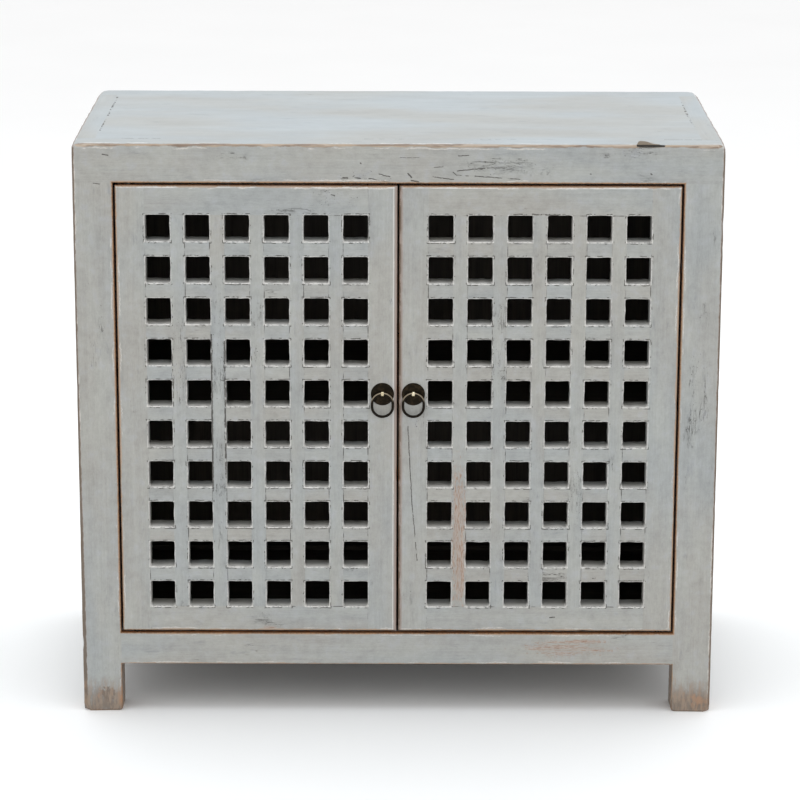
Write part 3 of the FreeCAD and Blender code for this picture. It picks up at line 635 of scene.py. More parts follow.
class Paint:
    """The old paint of one material, and what is fed to its inputs."""

    def __init__(self, t):
        self.t = t
        self.node = t.add("ShaderNodeGroup", node_tree=old_paint)

    def feed(self, **values):
        for label, value in values.items():
            self.t.feed(self.node.inputs[label.replace("_", " ")], value)

    def more(self, label, value):
        """Feeds the greater of a share and what the input has already."""
        socket = self.node.inputs[label]
        before = socket.links[0].from_socket if socket.links else socket.default_value
        self.t.feed(socket, self.t.most(before, value))

    def add_marks(self, marks, flat, near):
        """Feeds the marks of one kind of timber, on the faces near the front."""
        for label, places in marks.items():
            socket = self.node.inputs[label]
            share = 0.0
            for numbers in places:
                group = crack if label == "Cracks" else patch
                spot = self.t.add("ShaderNodeGroup", ("Place", flat), *numbers, node_tree=group)
                share = self.t.most(Value(self.t, spot.outputs[0]) * near, share)
            self.t.feed(socket, share + socket.default_value)


def painted(name, grain, place="", cracked=0.1, wear=1.0, marks=None):
    """Old paint with the grain along one axis, for a timber of the frame or of a door."""
    material, t = new_material(name)
    paint = Paint(t)
    paint.feed(Grain=grain_space(t, grain), Edge_wear=wear, Cracked=cracked)
    x, y, z = t.split(t.here())
    deep = y - FRONT
    if marks:
        near = t.ramp(deep, 0.004, 0.002) if place == "door" else 1.0
        paint.add_marks(marks, t.joined(x, z + deep, 0.0), near)
    edge = t.group(edge_distance)["Distance"]
    if place == "door":
        paint.feed(**t.group(hole_distance))
        far = abs(x)
        outline = t.least(far - DOOR_INNER, DOOR_OUTER - far, z - DOOR_LOW, DOOR_HIGH - z)
        line = t.ramp(abs(DOOR_HIGH - 0.0028 - z), 0.0014, 0.0005)
        patchy = t.ramp(t.spots(0.050, 4.0, 26.0, 0.6), 0.42, 0.56, 0.1, 0.75)
        paint.feed(Bare=t.ramp(outline, 0.0010, 0.0004) * rubbed_bare(t, deep), Primed=line * patchy)
    if place == "door" and grain == "z":
        handle_meeting_edges(t, paint, x)
    if place == "frame":
        opening = t.group(opening_distance)
        edge = t.least(edge, opening["Distance"] - 0.0002)
        lip = t.most(deep * 0.36, (HEIGHT - z) * 0.75)
        edge = t.least(edge, lip + t.ramp(abs(x), 0.466, 0.474, -0.0005, 0.0015))
        paint.feed(Washed=t.ramp(z, HEIGHT - 0.006, HEIGHT - 0.004), Bare=opening["Facing it"])
        # The outermost few millimetres of the front's side edges and of the top's side edges are darkened
        # with the handled browns, wider down the left post towards its foot
        rough_edge = (t.spots(0.012, 4.0, 23.0, 0.6) - 0.5) * 0.004
        lower_left = t.ramp(x, -0.46, -0.47) * t.ramp(z, 0.60, 0.02, 0.0, 0.0030)
        outline = t.ramp(abs(x) + rough_edge + lower_left, 0.4712, 0.4730)
        near_top = t.ramp(z, HEIGHT - 0.006, HEIGHT - 0.003, 0.0, 0.7)
        near_front = t.ramp(deep, 0.0060, 0.0040) * t.ramp(z, HEIGHT - 0.003, HEIGHT - 0.006)
        paint.more("Handled", outline * t.most(near_front, near_top))
    if place == "frame" and grain == "z":
        soil_feet(t, paint, x, z)
    on_top = t.ramp(z, HEIGHT - 0.0012, HEIGHT - 0.0004)
    paint.feed(Edge=edge, Smooth=on_top)
    out = paint.node.outputs
    # Painted light: the top is tinted cooler, standing in for the cool light that falls on it from above
    cool_light_tint = t.blend(1.0, out["Color"], (0.945, 0.975, 1.02, 1.0), "MULTIPLY")
    colour = t.blend(on_top, out["Color"], cool_light_tint)
    return surface(material, colour, out["Roughness"], out["Height"], 0.0004)


def handle_meeting_edges(t, paint, x):
    """Brown, handled edges where the doors meet, the right one's browner, each with a pale border."""
    right = t.ramp(x, DOOR_INNER + 0.0064, DOOR_INNER + 0.0008, kind="LINEAR")
    right = right * t.ramp(x, -0.0002, 0.0)
    mottled = t.grainy(t.here(), 0.006, 0.018, 4.0, 27.0, 0.65)
    right = right * t.ramp(mottled, 0.36, 0.56, 0.62, 1.15)
    left = t.ramp(x, -DOOR_INNER - 0.0046, -DOOR_INNER - 0.0036, 0.0, 0.5) * t.ramp(x, 0.0, -0.0002)
    paint.feed(Handled=right + left)
    paint.more("Primed", t.ramp(abs(x + (DOOR_INNER + 0.0054)), 0.0011, 0.0004, 0.0, 0.50))


def soil_feet(t, paint, x, z):
    """Brown feet, and the inner faces of the legs below the rails made brown the same way."""
    paint.more("Soiled", t.ramp(z, 0.070, 0.010, 0.0, 1.0))
    beside = t.ramp(abs(x), OPENING_SIDE + 0.0012, OPENING_SIDE + 0.0005)
    paint.more("Soiled", beside * t.ramp(z, LEG_HEIGHT, LEG_HEIGHT - 0.002))


def dark_wood(name, grain, light=1.0):
    """Unpainted wood, nearly black with age inside the cabinet and lighter on its back."""
    material, t = new_material(name)
    space = grain_space(t, grain)
    ring = t.grainy(space, 0.012, 0.35, 4.0, 21.0, 0.6, 0.4)
    fibre = t.grainy(space, 0.0012, 0.05, 3.0, 22.0)
    cloud = t.grainy(space, 0.15, 0.3, 2.0, 23.0)
    colour = t.blend(t.ramp(ring, 0.35, 0.65), srgb(60, 54, 47), srgb(76, 68, 58))
    colour = t.blend(t.ramp(fibre, 0.45, 0.7) * 0.5, colour, srgb(44, 39, 33))
    colour = t.blend(t.ramp(cloud, 0.4, 0.7) * 0.4, colour, srgb(52, 47, 42))
    colour = t.vector("SCALE", colour, None, None, ("Scale", light))
    height = ring * 0.5 + fibre * 0.5
    return surface(material, colour, t.ramp(fibre, 0.2, 0.8, 0.62, 0.80), height, 0.0004)


def metal(name, dark, bright, rough, wear_size, share, rubbed_above=None):
    """Old metal: dark in the hollows, brighter where it rubs, and with a painted highlight on the outer
    side of a ring above a height.
    """
    material, t = new_material(name)
    spots = t.spots(wear_size, 4.0, 31.0, 0.6)
    pits = t.spots(0.0011, 3.0, 32.0)
    colour = t.blend(t.ramp(spots, 0.44, 0.66) * share, dark, bright)
    if rubbed_above:
        # A painted highlight: a thin bright line on the outer side of the ring's upper arcs, where light
        # from above would catch it
        x, _, z = t.split(t.here())
        across, up = abs(x) - PULL_ACROSS, z - RING_MIDDLE
        outer = t.ramp(t.distance(across, up), RING_RADIUS + 0.0001, RING_RADIUS + 0.0011)
        high = t.ramp(z, rubbed_above, rubbed_above + 0.008) * outer
        colour = t.blend(high * 0.75, colour, srgb(176, 162, 140))
    roughness = rough + (pits - 0.5) * 0.2
    height = spots * 0.4 + pits * 0.6
    return surface(material, colour, roughness, height, 0.0002, Metallic=1.0)


MATERIALS = {
    "frame_z": painted("frame_paint_upright", "z", "frame", 0.04, 1.0, POST_MARKS),
    "frame_x": painted("frame_paint_level", "x", "frame", 0.08, 1.0, LEVEL_MARKS),
    "frame_y": painted("frame_paint_side", "y", "frame", 0.06, 0.7),
    "top": painted("top_paint", "x", "", 0.0, 0.4, TOP_MARKS),
    "panel": painted("panel_paint", "z", "", 0.06, 0.6),
    "door_z": painted("door_paint_upright", "z", "door", 0.08, 1.2, DOOR_UPRIGHT_MARKS),
    "door_x": painted("door_paint_level", "x", "door", 0.06, 1.2, DOOR_LEVEL_MARKS),
    "inside_x": dark_wood("inner_wood_level", "x"),
    "inside_y": dark_wood("inner_wood_side", "y"),
    "inside_z": dark_wood("inner_wood_upright", "z"),
    "back_board": dark_wood("back_board_wood", "z", 2.4),
    "flake": dark_wood("flake_wood", "x", 3.0),
    # A painted shadow: the nearly black wood along the flake's foot
    "hollow": dark_wood("hollow_wood", "x", 0.3),
    "bronze": metal("dark_bronze", srgb(34, 30, 24), srgb(62, 52, 40), 0.55, 0.007, 0.6),
    "ring": metal("worn_ring", srgb(31, 28, 24), srgb(50, 44, 36), 0.42, 0.004, 0.6, 0.488),
    "brass": metal("yellow_brass", srgb(204, 190, 158), srgb(232, 222, 198), 0.24, 0.004, 0.8),
    "iron": metal("pivot_iron", srgb(58, 56, 54), srgb(104, 100, 94), 0.5, 0.006, 0.5),
}


# Timbers


def flush_share(point, block):
    """How much of its easing an edge keeps at a point: little where two timbers meet flush."""
    x, y, z = abs(point.x), point.y, point.z
    if block.door:
        outline = min(x - DOOR_INNER, DOOR_OUTER - x, z - DOOR_LOW, DOOR_HIGH - z)
        if outline < NEAR_JOINT:
            return 1.0
        column = min(max(round((x - FIRST_COLUMN) / COLUMN_PITCH), 0), UPRIGHTS)
        row = min(max(round((z - FIRST_ROW) / ROW_PITCH), 0), CROSSBARS)
        across = abs(x - FIRST_COLUMN - column * COLUMN_PITCH) - HOLE_WIDTH / 2
        up = abs(z - FIRST_ROW - row * ROW_PITCH) - HOLE_HEIGHT / 2
        beyond = min(max(max(across, up) / 0.0020, 0.0), 1.0)
        return 1.7 - 1.62 * beyond
    inner = x < HALF_WIDTH - NEAR_JOINT
    flush = (
        abs(x - OPENING_SIDE) < NEAR_JOINT and LEG_HEIGHT - 0.001 < z < OPENING_BOTTOM + 0.001,
        abs(z - OPENING_TOP) < NEAR_JOINT and OPENING_SIDE - 0.0005 < x and inner,
        abs(abs(y) - TOP_END) < NEAR_JOINT and z > HEIGHT - NEAR_JOINT and inner,
    )
    return FLUSH_EASE if any(flush) else 1.0


class Block:
    """The plain box of a timber, without its tenons, and which of its faces meet others."""

    def __init__(self, node, joints="", unworn="", door=False, **spans):
        low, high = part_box(node)
        for axis, ends in spans.items():
            i = "xyz".index(axis)
            low[i], high[i] = sorted(ends)
        self.low, self.high = low, high
        self.joints = set(joints.split())
        self.unworn = self.joints | set(unworn.split())
        self.door = door

    def faces_at(self, point):
        """The names of the box's faces that a point lies on."""
        found = set()
        for i, axis in enumerate("xyz"):
            if abs(point[i] - self.low[i]) < SAME:
                found.add(axis + "-")
            if abs(point[i] - self.high[i]) < SAME:
                found.add(axis + "+")
        return found

    def gaps(self, point):
        """For each axis the distance to the nearer face, and the way to it."""
        found = []
        for i in range(3):
            below, above = point[i] - self.low[i], self.high[i] - point[i]
            found.append((below, -1) if below < above else (above, 1))
        return found

    def wear_corners(self):
        """The low and high corner that wear is measured from: far away at an unworn face."""
        low, high = self.low.copy(), self.high.copy()
        for i, axis in enumerate("xyz"):
            if axis + "-" in self.unworn:
                low[i] -= FAR
            if axis + "+" in self.unworn:
                high[i] += FAR
        return low, high


def ease_edges(bm, block, ease):
    """Rounds the open edges of the box."""
    sharp = []
    for edge in bm.edges:
        shared = block.faces_at(edge.verts[0].co) & block.faces_at(edge.verts[1].co)
        if len(shared) >= 2 and not shared & block.joints:
            sharp.append(edge)
    if sharp:
        settings = {"offset_type": "OFFSET", "profile": 0.5, "affect": "EDGES", "clamp_overlap": False}
        bmesh.ops.bevel(bm, geom=sharp, offset=ease, segments=3, **settings)


def cut(bm, axis, place):
    """One cut through a timber, square to an axis."""
    normal = Vector((0, 0, 0))
    normal[axis] = 1.0
    geometry = bm.verts[:] + bm.edges[:] + bm.faces[:]
    bmesh.ops.bisect_plane(bm, geom=geometry, dist=SAME, plane_co=normal * place, plane_no=normal)


def cut_lengthwise(bm, block, step):
    """Rings of points along the timber, close enough for its edges to be uneven."""
    size = block.high - block.low
    axis = max(range(3), key=lambda i: size[i])
    count = int(size[axis] / step)
    for index in range(1, count):
        cut(bm, axis, block.low[axis] + size[axis] * index / count)


# Places where a corner or an edge is worn more: place, how far round it, and how much more
WORN_PLACES = [
    (Vector((0.366, FRONT, HEIGHT)), 0.018, 1.6),
    (Vector((-HALF_WIDTH, HALF_DEPTH, HEIGHT)), 0.012, 0.9),
    (Vector((HALF_WIDTH, HALF_DEPTH, HEIGHT)), 0.012, 0.9),
    (Vector((-HALF_WIDTH, FRONT, HEIGHT)), 0.010, 0.8),
    (Vector((HALF_WIDTH, FRONT, HEIGHT)), 0.010, 1.0),
]
for x in (-HALF_WIDTH, -OPENING_SIDE, OPENING_SIDE, HALF_WIDTH):
    for y in (FRONT, HALF_DEPTH):
        WORN_PLACES.append((Vector((x, y, 0.0)), 0.010, 3.0))


def worn_more(point):
    """How much more the edges are eased near a worn place."""
    more_worn = 0.0
    for place, far, much in WORN_PLACES:
        share = max(0.0, 1.0 - (point - place).length / far)
        more_worn = max(more_worn, much * min(1.0, 2.0 * share))
    return more_worn


def wear_edges(bm, block):
    """Makes the easing of each edge wider and narrower along it, with a chip here and there."""
    for vert in bm.verts:
        gaps = block.gaps(vert.co)
        near = [i for i, (gap, _) in enumerate(gaps) if -SAME < gap < EASE_REACH]
        if len(near) < 2:
            continue
        wave = noise.noise(vert.co * 90.0) + 0.5 * noise.noise(vert.co * 260.0)
        chip = max(0.0, noise.noise(vert.co * 45.0 + Vector((3.1, 7.7, 1.3))) - 0.42) * 5.0
        share = flush_share(vert.co, block)
        scale = max(0.05, (1.0 + 0.45 * wave + chip + worn_more(vert.co)) * share)
        for i in near:
            gap, way = gaps[i]
            if gap > SAME:
                wanted = min(gap * scale, WIDEST_EASE)
                vert.co[i] += way * (gap - wanted)


def closed_in(point):
    """Whether a point is in the space inside the cabinet."""
    return (
        abs(point.x) < INSIDE_SIDE
        and INSIDE_FRONT < point.y < INSIDE_BACK
        and INSIDE_LOW < point.z < INSIDE_HIGH
    )


def as_piece(name, bm, body, replaced, block, finishes, pick=None):
    """Finishes a mesh as a piece that rides on a body and stands for its nodes."""
    mesh = bpy.data.meshes.new(name)
    for key in finishes:
        mesh.materials.append(MATERIALS[key])
    for face in bm.faces:
        face.smooth = max(abs(c) for c in face.normal) < FLAT
        face.material_index = pick(face) if pick else 0
    bm.to_mesh(mesh)
    bm.free()
    corners = block.wear_corners() if block else ((-FAR, -FAR, -FAR), (FAR, FAR, FAR))
    for label, corner in zip(("low", "high"), corners):
        attribute = mesh.attributes.new(label, "FLOAT_VECTOR", "POINT")
        attribute.data.foreach_set("vector", np.tile(np.array(corner, np.float32), len(mesh.vertices)))
    piece = placed(name, mesh)
    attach(piece, body)
    if replaced:
        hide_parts(*replaced)
    return piece


def inner_or_outer(face):
    """0 for the painted outside of the cabinet and 1 for its bare inside."""
    probe = face.calc_center_median() + face.normal * 0.001
    return 1 if closed_in(probe) else 0


def timber(node, body, slot, finishes, block, ease=0.001, step=0.012, cuts=(), pick=inner_or_outer):
    """A timber made from its own node, with uneven eased edges."""
    bm = bmesh.new()
    bm.from_mesh(nodes[node].data)
    bmesh.ops.remove_doubles(bm, verts=bm.verts, dist=SAME)
    angle = math.radians(1.0)
    bmesh.ops.dissolve_limit(bm, angle_limit=angle, verts=bm.verts, edges=bm.edges)
    if ease:
        ease_edges(bm, block, ease)
    for axis, place in cuts:
        cut(bm, axis, place)
    cut_lengthwise(bm, block, step)
    wear_edges(bm, block)
    bm.normal_update()
    return as_piece(f"{node}_aged", bm, body, [node], block, finishes, pick)


def inward(side):
    """The name of a timber's face that looks to the middle of the cabinet."""
    return "x-" if SIDES[side] > 0 else "x+"


def outward(side):
    """The name of a timber's face that looks away from the middle of the cabinet."""
    return "x+" if SIDES[side] > 0 else "x-"


PAINT = "painted_wood"
INNER = "inner_wood"


def cabinet_timber(node, outside, inside, block, cuts=(), **more_settings):
    """A timber of the cabinet, painted outside and bare inside."""
    timber(node, "cabinet", PAINT, (outside, inside), block, cuts=cuts, **more_settings)


def make_frame():
    """Posts, rails, panels and planks of the cabinet."""
    front, low, high = (1, INSIDE_FRONT), (2, INSIDE_LOW), (2, INSIDE_HIGH)
    whole_width = (-OPENING_SIDE, OPENING_SIDE)
    all_faces = "x- x+ y- y+ z- z+"
    for side in SIDES:
        for end in ("front", "back"):
            node = f"{end}_{side}_post"
            block = Block(node, "z+", inward(side), z=(0.0, OPENING_TOP))
            cabinet_timber(node, "frame_z", "inside_z", block, (front, low))
    for end in ("front", "back"):
        node = f"top_{end}_rail"
        block = Block(node, unworn="z- y+" if end == "front" else "z- y-")
        cabinet_timber(node, "frame_x", "inside_x", block, (front, high))
        node = f"bottom_{end}_rail"
        block = Block(node, "x- x+", "z- z+", x=whole_width)
        cabinet_timber(node, "frame_x", "inside_x", block, (front, low))
    for side in SIDES:
        node = f"top_{side}_rail"
        block = Block(node, f"y- y+ {inward(side)}", y=(-TOP_END, TOP_END))
        cabinet_timber(node, "frame_y", "inside_y", block, (high,))
        node = f"bottom_{side}_rail"
        block = Block(node, "y- y+", y=(-BOTTOM_RAIL_END, BOTTOM_RAIL_END))
        cabinet_timber(node, "frame_y", "inside_y", block, (low,))
        node = f"{side}_side_panel"
        cabinet_timber(node, "panel", "inside_z", Block(node, all_faces), ease=0)
    for level in ("lower", "upper"):
        node = f"{level}_back_panel"
        timber(node, "cabinet", INNER, ("back_board", "inside_z"), Block(node, all_faces), ease=0)
    node = "back_middle_rail"
    cabinet_timber(node, "frame_x", "inside_x", Block(node, "x- x+", x=whole_width))
    for end, depth in (("front", (-TOP_END, PLANK_SEAM)), ("back", (PLANK_SEAM, TOP_END))):
        node = f"top_{end}_plank"
        block = Block(node, "x- x+ y- y+ z-", x=(-TOP_SIDE, TOP_SIDE), y=depth)
        cabinet_timber(node, "top", "inside_x", block, ease=0)


def skin(bm, rings, capped=False):
    """Faces between each ring of points and the next, where a ring of one point is a tip."""
    for here, there in zip(rings, rings[1:]):
        count = max(len(here), len(there))
        for i in range(count):
            after = (i + 1) % count
            corners = [here[i % len(here)], here[after % len(here)]]
            corners += [there[after % len(there)], there[i % len(there)]]
            bm.faces.new(dict.fromkeys(corners))
    if capped:
        bm.faces.new(rings[0])
        bm.faces.new(rings[-1])
    bmesh.ops.recalc_face_normals(bm, faces=bm.faces)


# The lifted flake on the top's front edge: places across, each with how high it stands
FLAKE = [
    (0.3454, 0.0003),
    (0.3470, 0.0026),
    (0.3490, 0.0054),
    (0.3510, 0.0060),
    (0.3570, 0.0056),
    (0.3615, 0.0048),
    (0.3660, 0.0032),
    (0.3704, 0.0022),
    (0.3790, 0.0014),
    (0.3866, 0.0002),
]


def make_flake():
    """The flake, torn open towards the front: bare beneath, painted above, with a painted shadow along its
    foot.
    """
    bm = bmesh.new()
    rows = []
    for x, rise in FLAKE:
        lean = 0.6 * rise
        points = (
            (FRONT + 0.0012, HEIGHT - 0.0022),
            (FRONT + 0.0012, HEIGHT + min(0.0009, 0.6 * rise)),
            (FRONT + 0.0012 + lean, HEIGHT + rise),
            (FRONT + 0.0030 + lean, HEIGHT + rise + 0.0004),
            (FRONT + 0.0060, HEIGHT - 0.0022),
        )
        rows.append([bm.verts.new((x, y, z)) for y, z in points])
    skin(bm, rows, capped=True)

    def bare_shadowed_or_painted(face):
        if face.normal.y > 0 or face.normal.z > 0.8:
            return 2
        # Faces low at the front get the nearly black wood: a painted shadow under the lifted flake
        return 1 if face.calc_center_median().z < HEIGHT + 0.0004 else 0

    finishes = ("flake", "hollow", "top")
    as_piece("top_flake", bm, "cabinet", [], None, finishes, bare_shadowed_or_painted)


def inner_timber(node, axis, ease=0.001):
    """A timber of bare dark wood."""
    timber(node, "cabinet", INNER, (f"inside_{axis}",), Block(node), ease, pick=None)


def make_inside():
    """Floor, shelf, bearers, battens and door stop."""
    for kind in ("floor", "shelf"):
        for end in ("front", "back"):
            inner_timber(f"{kind}_{end}_plank", "x", 0.0015)
    for node in ("left_shelf_bearer", "right_shelf_bearer", "top_batten", "floor_batten"):
        inner_timber(node, "y")
    inner_timber("door_stop", "x")


def make_door_frame(side):
    """Stiles and rails of one door."""
    body = f"{side}_door"
    across = (SIDES[side] * FIELD_NEAR, SIDES[side] * FIELD_FAR)
    for kind, inner in (("hinge", inward(side)), ("meeting", outward(side))):
        node = f"{body}_{kind}_stile"
        timber(node, body, PAINT, ("door_z",), Block(node, unworn=inner, door=True), step=0.008, pick=None)
    for level in ("top", "bottom"):
        node = f"{body}_{level}_rail"
        inner = "z-" if level == "top" else "z+"
        block = Block(node, "x- x+", inner, True, x=across)
        timber(node, body, PAINT, ("door_x",), block, pick=None, step=0.008)


# Lattice


def in_a_row(t, piece, count, step, start=(0.0, 0.0, 0.0)):
    """A piece set out at evenly spaced places."""
    places = t.made(
        "GeometryNodeMeshLine",
        ("Count", count),
        ("Start Location", t.joined(*start)),
        ("Offset", t.joined(*step)),
        mode="OFFSET",
    )
    return t.made("GeometryNodeInstanceOnPoints", places, ("Instance", piece))


def cut_away(t, block, tool):
    """A block without what a tool takes from it."""
    inputs = (("Mesh 1", block), ("Mesh 2", tool))
    return t.made("GeometryNodeMeshBoolean", *inputs, operation="DIFFERENCE", solver="EXACT")


def finished(t, given, geometry):
    """The group's own pieces, made real and given their material."""
    whole = t.made("GeometryNodeRealizeInstances", geometry)
    return t.give(Geometry=t.made("GeometryNodeSetMaterial", whole, ("Material", given["Material"])))


def lattice_tree():
    """Bars standing in a row, eased and uneven, each cut half away where another row crosses."""
    t, given = new_group(
        "lattice bars", "GeometryNodeTree", Geometry=None, Bars=5, Pitch=0.058, Length=0.6, Width=0.0215,
        Depth=0.034, Ease=0.0017, Uneven=0.5, Waver=0.003, Rings=100, Crossings=9, First_crossing=0.05,
        Crossing_pitch=0.0625, Crossing_width=0.023, Lap_side=1.0, Seed=0.0, Material=None,
    )
    width, depth, length, pitch = (given[name] for name in ("Width", "Depth", "Length", "Crossing pitch"))
    half_width, half_depth = width * 0.5, depth * 0.5
    step = (given["Pitch"], 0.0, 0.0)

    bar = t.made("GeometryNodeMeshCube", t.joined(width, depth, length), 4, 4, given["Rings"])
    kept = t.add("GeometryNodeCaptureAttribute", bar)
    kept.capture_items.new("VECTOR", "Own place")
    t.feed(kept.inputs["Own place"], t.made("GeometryNodeInputPosition"))
    rise = ("Translation", t.joined(0.0, 0.0, length * 0.5))
    raised = t.made("GeometryNodeTransform", kept.outputs[0], rise)
    bars = t.made("GeometryNodeRealizeInstances", in_a_row(t, raised, given["Bars"], step))

    place = t.made("GeometryNodeInputPosition")
    x, _, up = t.split(place)
    past = up - given["First crossing"]
    number = t.math("ROUND", past / pitch)
    number = t.most(t.least(number, given["Crossings"] - 1.0), 0.0)
    beside = abs(past - number * pitch)
    open_ = t.ramp(beside - given["Crossing width"] * 0.5, -0.0018, 0.0002, 0.08, 1.0)
    wave = t.grainy(t.vector("ADD", place, t.joined(given["Seed"], 0.0, 0.0)), 0.011, 0.011, 3.0, 41.0)
    ease = (1.0 + (wave - 0.5) * 3.0 * given["Uneven"]) * given["Ease"] * open_

    own_x, own_y, _ = t.split(kept.outputs["Own place"])
    bar_side = x - own_x + t.math("SIGN", own_x) * 0.3
    waver = t.grainy(t.joined(bar_side, given["Seed"], up), 0.016, 0.016, 3.0, 42.0)
    waver = (waver - 0.5) * given["Waver"]
    outer_x = t.math("GREATER_THAN", abs(own_x), half_width * 0.9)
    outer_y = t.math("GREATER_THAN", abs(own_y), half_depth * 0.9)
    corner = outer_x * outer_y

    def shift(value, half, outer, side_waver):
        """How far a point moves along one axis, so that its edge is eased."""
        target = (half - ease * 0.29 * corner) * outer + (half - ease) * (1.0 - outer)
        return t.math("SIGN", value) * (target - abs(value) + side_waver)

    offset = (shift(own_x, half_width, outer_x, waver), shift(own_y, half_depth, outer_y, 0.0), 0.0)
    eased = t.made("GeometryNodeSetPosition", bars, ("Offset", t.joined(*offset)))

    lap = t.made("GeometryNodeMeshCube", t.joined(width * 1.3, depth, given["Crossing width"]))
    first = (0.0, given["Lap side"] * half_depth, given["First crossing"])
    laps = in_a_row(t, lap, given["Crossings"], (0.0, 0.0, pitch), first)
    laps = t.made("GeometryNodeRealizeInstances", in_a_row(t, laps, given["Bars"], step))
    return finished(t, given, cut_away(t, eased, laps))


def corners_tree():
    """Paint gathered in the four corners of each hole of a door, as hollow quarter rounds."""
    t, given = new_group(
        "hole corners", "GeometryNodeTree", Geometry=None, Radius=0.0024, Hidden=0.0003, Depth=0.032,
        Hole_width=0.036, Hole_height=0.0395, Columns=6, Rows=10, Column_pitch=0.058, Row_pitch=0.0625,
        Material=None,
    )
    radius, depth = given["Radius"], given["Depth"]
    size = radius + given["Hidden"]
    half = size * 0.5
    block = t.made("GeometryNodeMeshCube", t.joined(size, depth, size))
    block = t.made("GeometryNodeTransform", block, ("Translation", t.joined(half, 0.0, half)))
    sizes = (("Vertices", 24), ("Radius", radius), ("Depth", depth * 1.2))
    round_ = t.made("GeometryNodeMeshCylinder", *sizes)
    round_ = t.made("GeometryNodeTransform", round_, ("Rotation", (math.pi / 2, 0.0, 0.0)))
    corner = cut_away(t, block, round_)
    around = t.add("GeometryNodeJoinGeometry")
    across, up = given["Hole width"] * 0.5 - radius, given["Hole height"] * 0.5 - radius
    for turn, (way_x, way_z) in enumerate(((1.0, 1.0), (1.0, -1.0), (-1.0, -1.0), (-1.0, 1.0))):
        place = t.joined(across * way_x, 0.0, up * way_z)
        angle = (0.0, turn * math.pi / 2, 0.0)
        turned = t.made("GeometryNodeTransform", corner, ("Translation", place), ("Rotation", angle))
        t.feed(around.inputs[0], turned)
    spread = in_a_row(t, around.outputs[0], given["Columns"], (given["Column pitch"], 0.0, 0.0))
    return finished(t, given, in_a_row(t, spread, given["Rows"], (0.0, 0.0, given["Row pitch"])))


def by_rule(name, tree, place, body, replaced, finish, **sizes):
    """A piece that a tree gives for these sizes, put in place by a matrix.

    The rims of the door's holes give its wear, so its own corners are far away.
    """
    seed = bpy.data.meshes.new(f"{name}_seed")
    holder = placed(f"{name}_rule", seed)
    modifier = holder.modifiers.new("rule", "NODES")
    modifier.node_group = tree
    sockets = {s.name: s.identifier for s in tree.interface.items_tree if s.in_out == "INPUT"}
    sizes["Material"] = MATERIALS[finish]
    for label, value in sizes.items():
        modifier[sockets[label.replace("_", " ")]] = value
    view = bpy.context.evaluated_depsgraph_get()
    mesh = bpy.data.meshes.new_from_object(holder.evaluated_get(view))
    mesh.transform(place)
    bm = bmesh.new()
    bm.from_mesh(mesh)
    bpy.data.objects.remove(holder)
    for used in (seed, mesh):
        bpy.data.meshes.remove(used)
    as_piece(name, bm, body, replaced, None, (finish,))


def row_sizes(own, crossing, length):
    """What the lattice tree has to know of a row of bars and of the row that crosses it."""
    count, width, _, _ = own
    crossings, crossing_width, pitch, hole = crossing
    return {
        "Bars": count,
        "Length": length,
        "Width": width,
        "Depth": LATTICE_DEPTH,
        "Rings": int(length / BAR_STEP),
        "Crossings": crossings,
        "First_crossing": hole + crossing_width / 2,
        "Crossing_pitch": pitch,
        "Crossing_width": crossing_width,
    }


def make_lattice(side, bars, corners):
    """The uprights, the crossbars and the paint in the corners of one door's holes."""
    body = f"{side}_door"
    way = SIDES[side]
    middle = FRONT + LATTICE_DEPTH / 2
    columns = (UPRIGHTS, UPRIGHT_WIDTH, COLUMN_PITCH, HOLE_WIDTH)
    rows = (CROSSBARS, CROSSBAR_HEIGHT, ROW_PITCH, HOLE_HEIGHT)

    first = FIELD_NEAR + HOLE_WIDTH + UPRIGHT_WIDTH / 2
    place = Matrix.Translation((way * first, middle, FIELD_LOW))
    replaced = [f"{body}_upright_{index + 1}" for index in range(UPRIGHTS)]
    sizes = row_sizes(columns, rows, FIELD_HIGH - FIELD_LOW)
    sizes.update(Pitch=way * COLUMN_PITCH, Lap_side=1.0, Seed=3.0 * way)
    by_rule(f"{body}_uprights_aged", bars, place, body, replaced, "door_z", **sizes)

    start = min(way * FIELD_NEAR, way * FIELD_FAR)
    place = Matrix.Translation((start, middle, FIELD_LOW + HOLE_HEIGHT + CROSSBAR_HEIGHT / 2))
    place = place @ Matrix.Rotation(math.pi / 2, 4, "Y")
    sizes = row_sizes(rows, columns, FIELD_FAR - FIELD_NEAR)
    sizes.update(Pitch=-ROW_PITCH, Lap_side=-1.0, Seed=5.0 * way)
    by_rule(f"{body}_crossbars_aged", bars, place, body, [f"{body}_crossbars"], "door_x", **sizes)

    place = Matrix.Translation((way * FIRST_COLUMN, middle + 0.0002, FIRST_ROW))
    sizes = {
        "Depth": LATTICE_DEPTH - 0.002,
        "Hole_width": HOLE_WIDTH,
        "Hole_height": HOLE_HEIGHT,
        "Columns": UPRIGHTS + 1,
        "Rows": CROSSBARS + 1,
        "Column_pitch": way * COLUMN_PITCH,
        "Row_pitch": ROW_PITCH,
    }
    by_rule(f"{body}_hole_corners", corners, place, body, [], "door_z", **sizes)


# Pulls


def lathe(bm, centre, profile, segments=72):
    """A closed round shape facing the front, from (radius, rise) points, the first and last on its axis."""
    rings = []
    for radius, rise in profile:
        if radius == 0:
            rings.append([bm.verts.new((centre.x, centre.y - rise, centre.z))])
            continue
        ring = []
        for step in range(segments):
            angle = 2 * math.pi * step / segments
            place = (radius * math.cos(angle), -rise, radius * math.sin(angle))
            ring.append(bm.verts.new(centre + Vector(place)))
        rings.append(ring)
    skin(bm, rings)


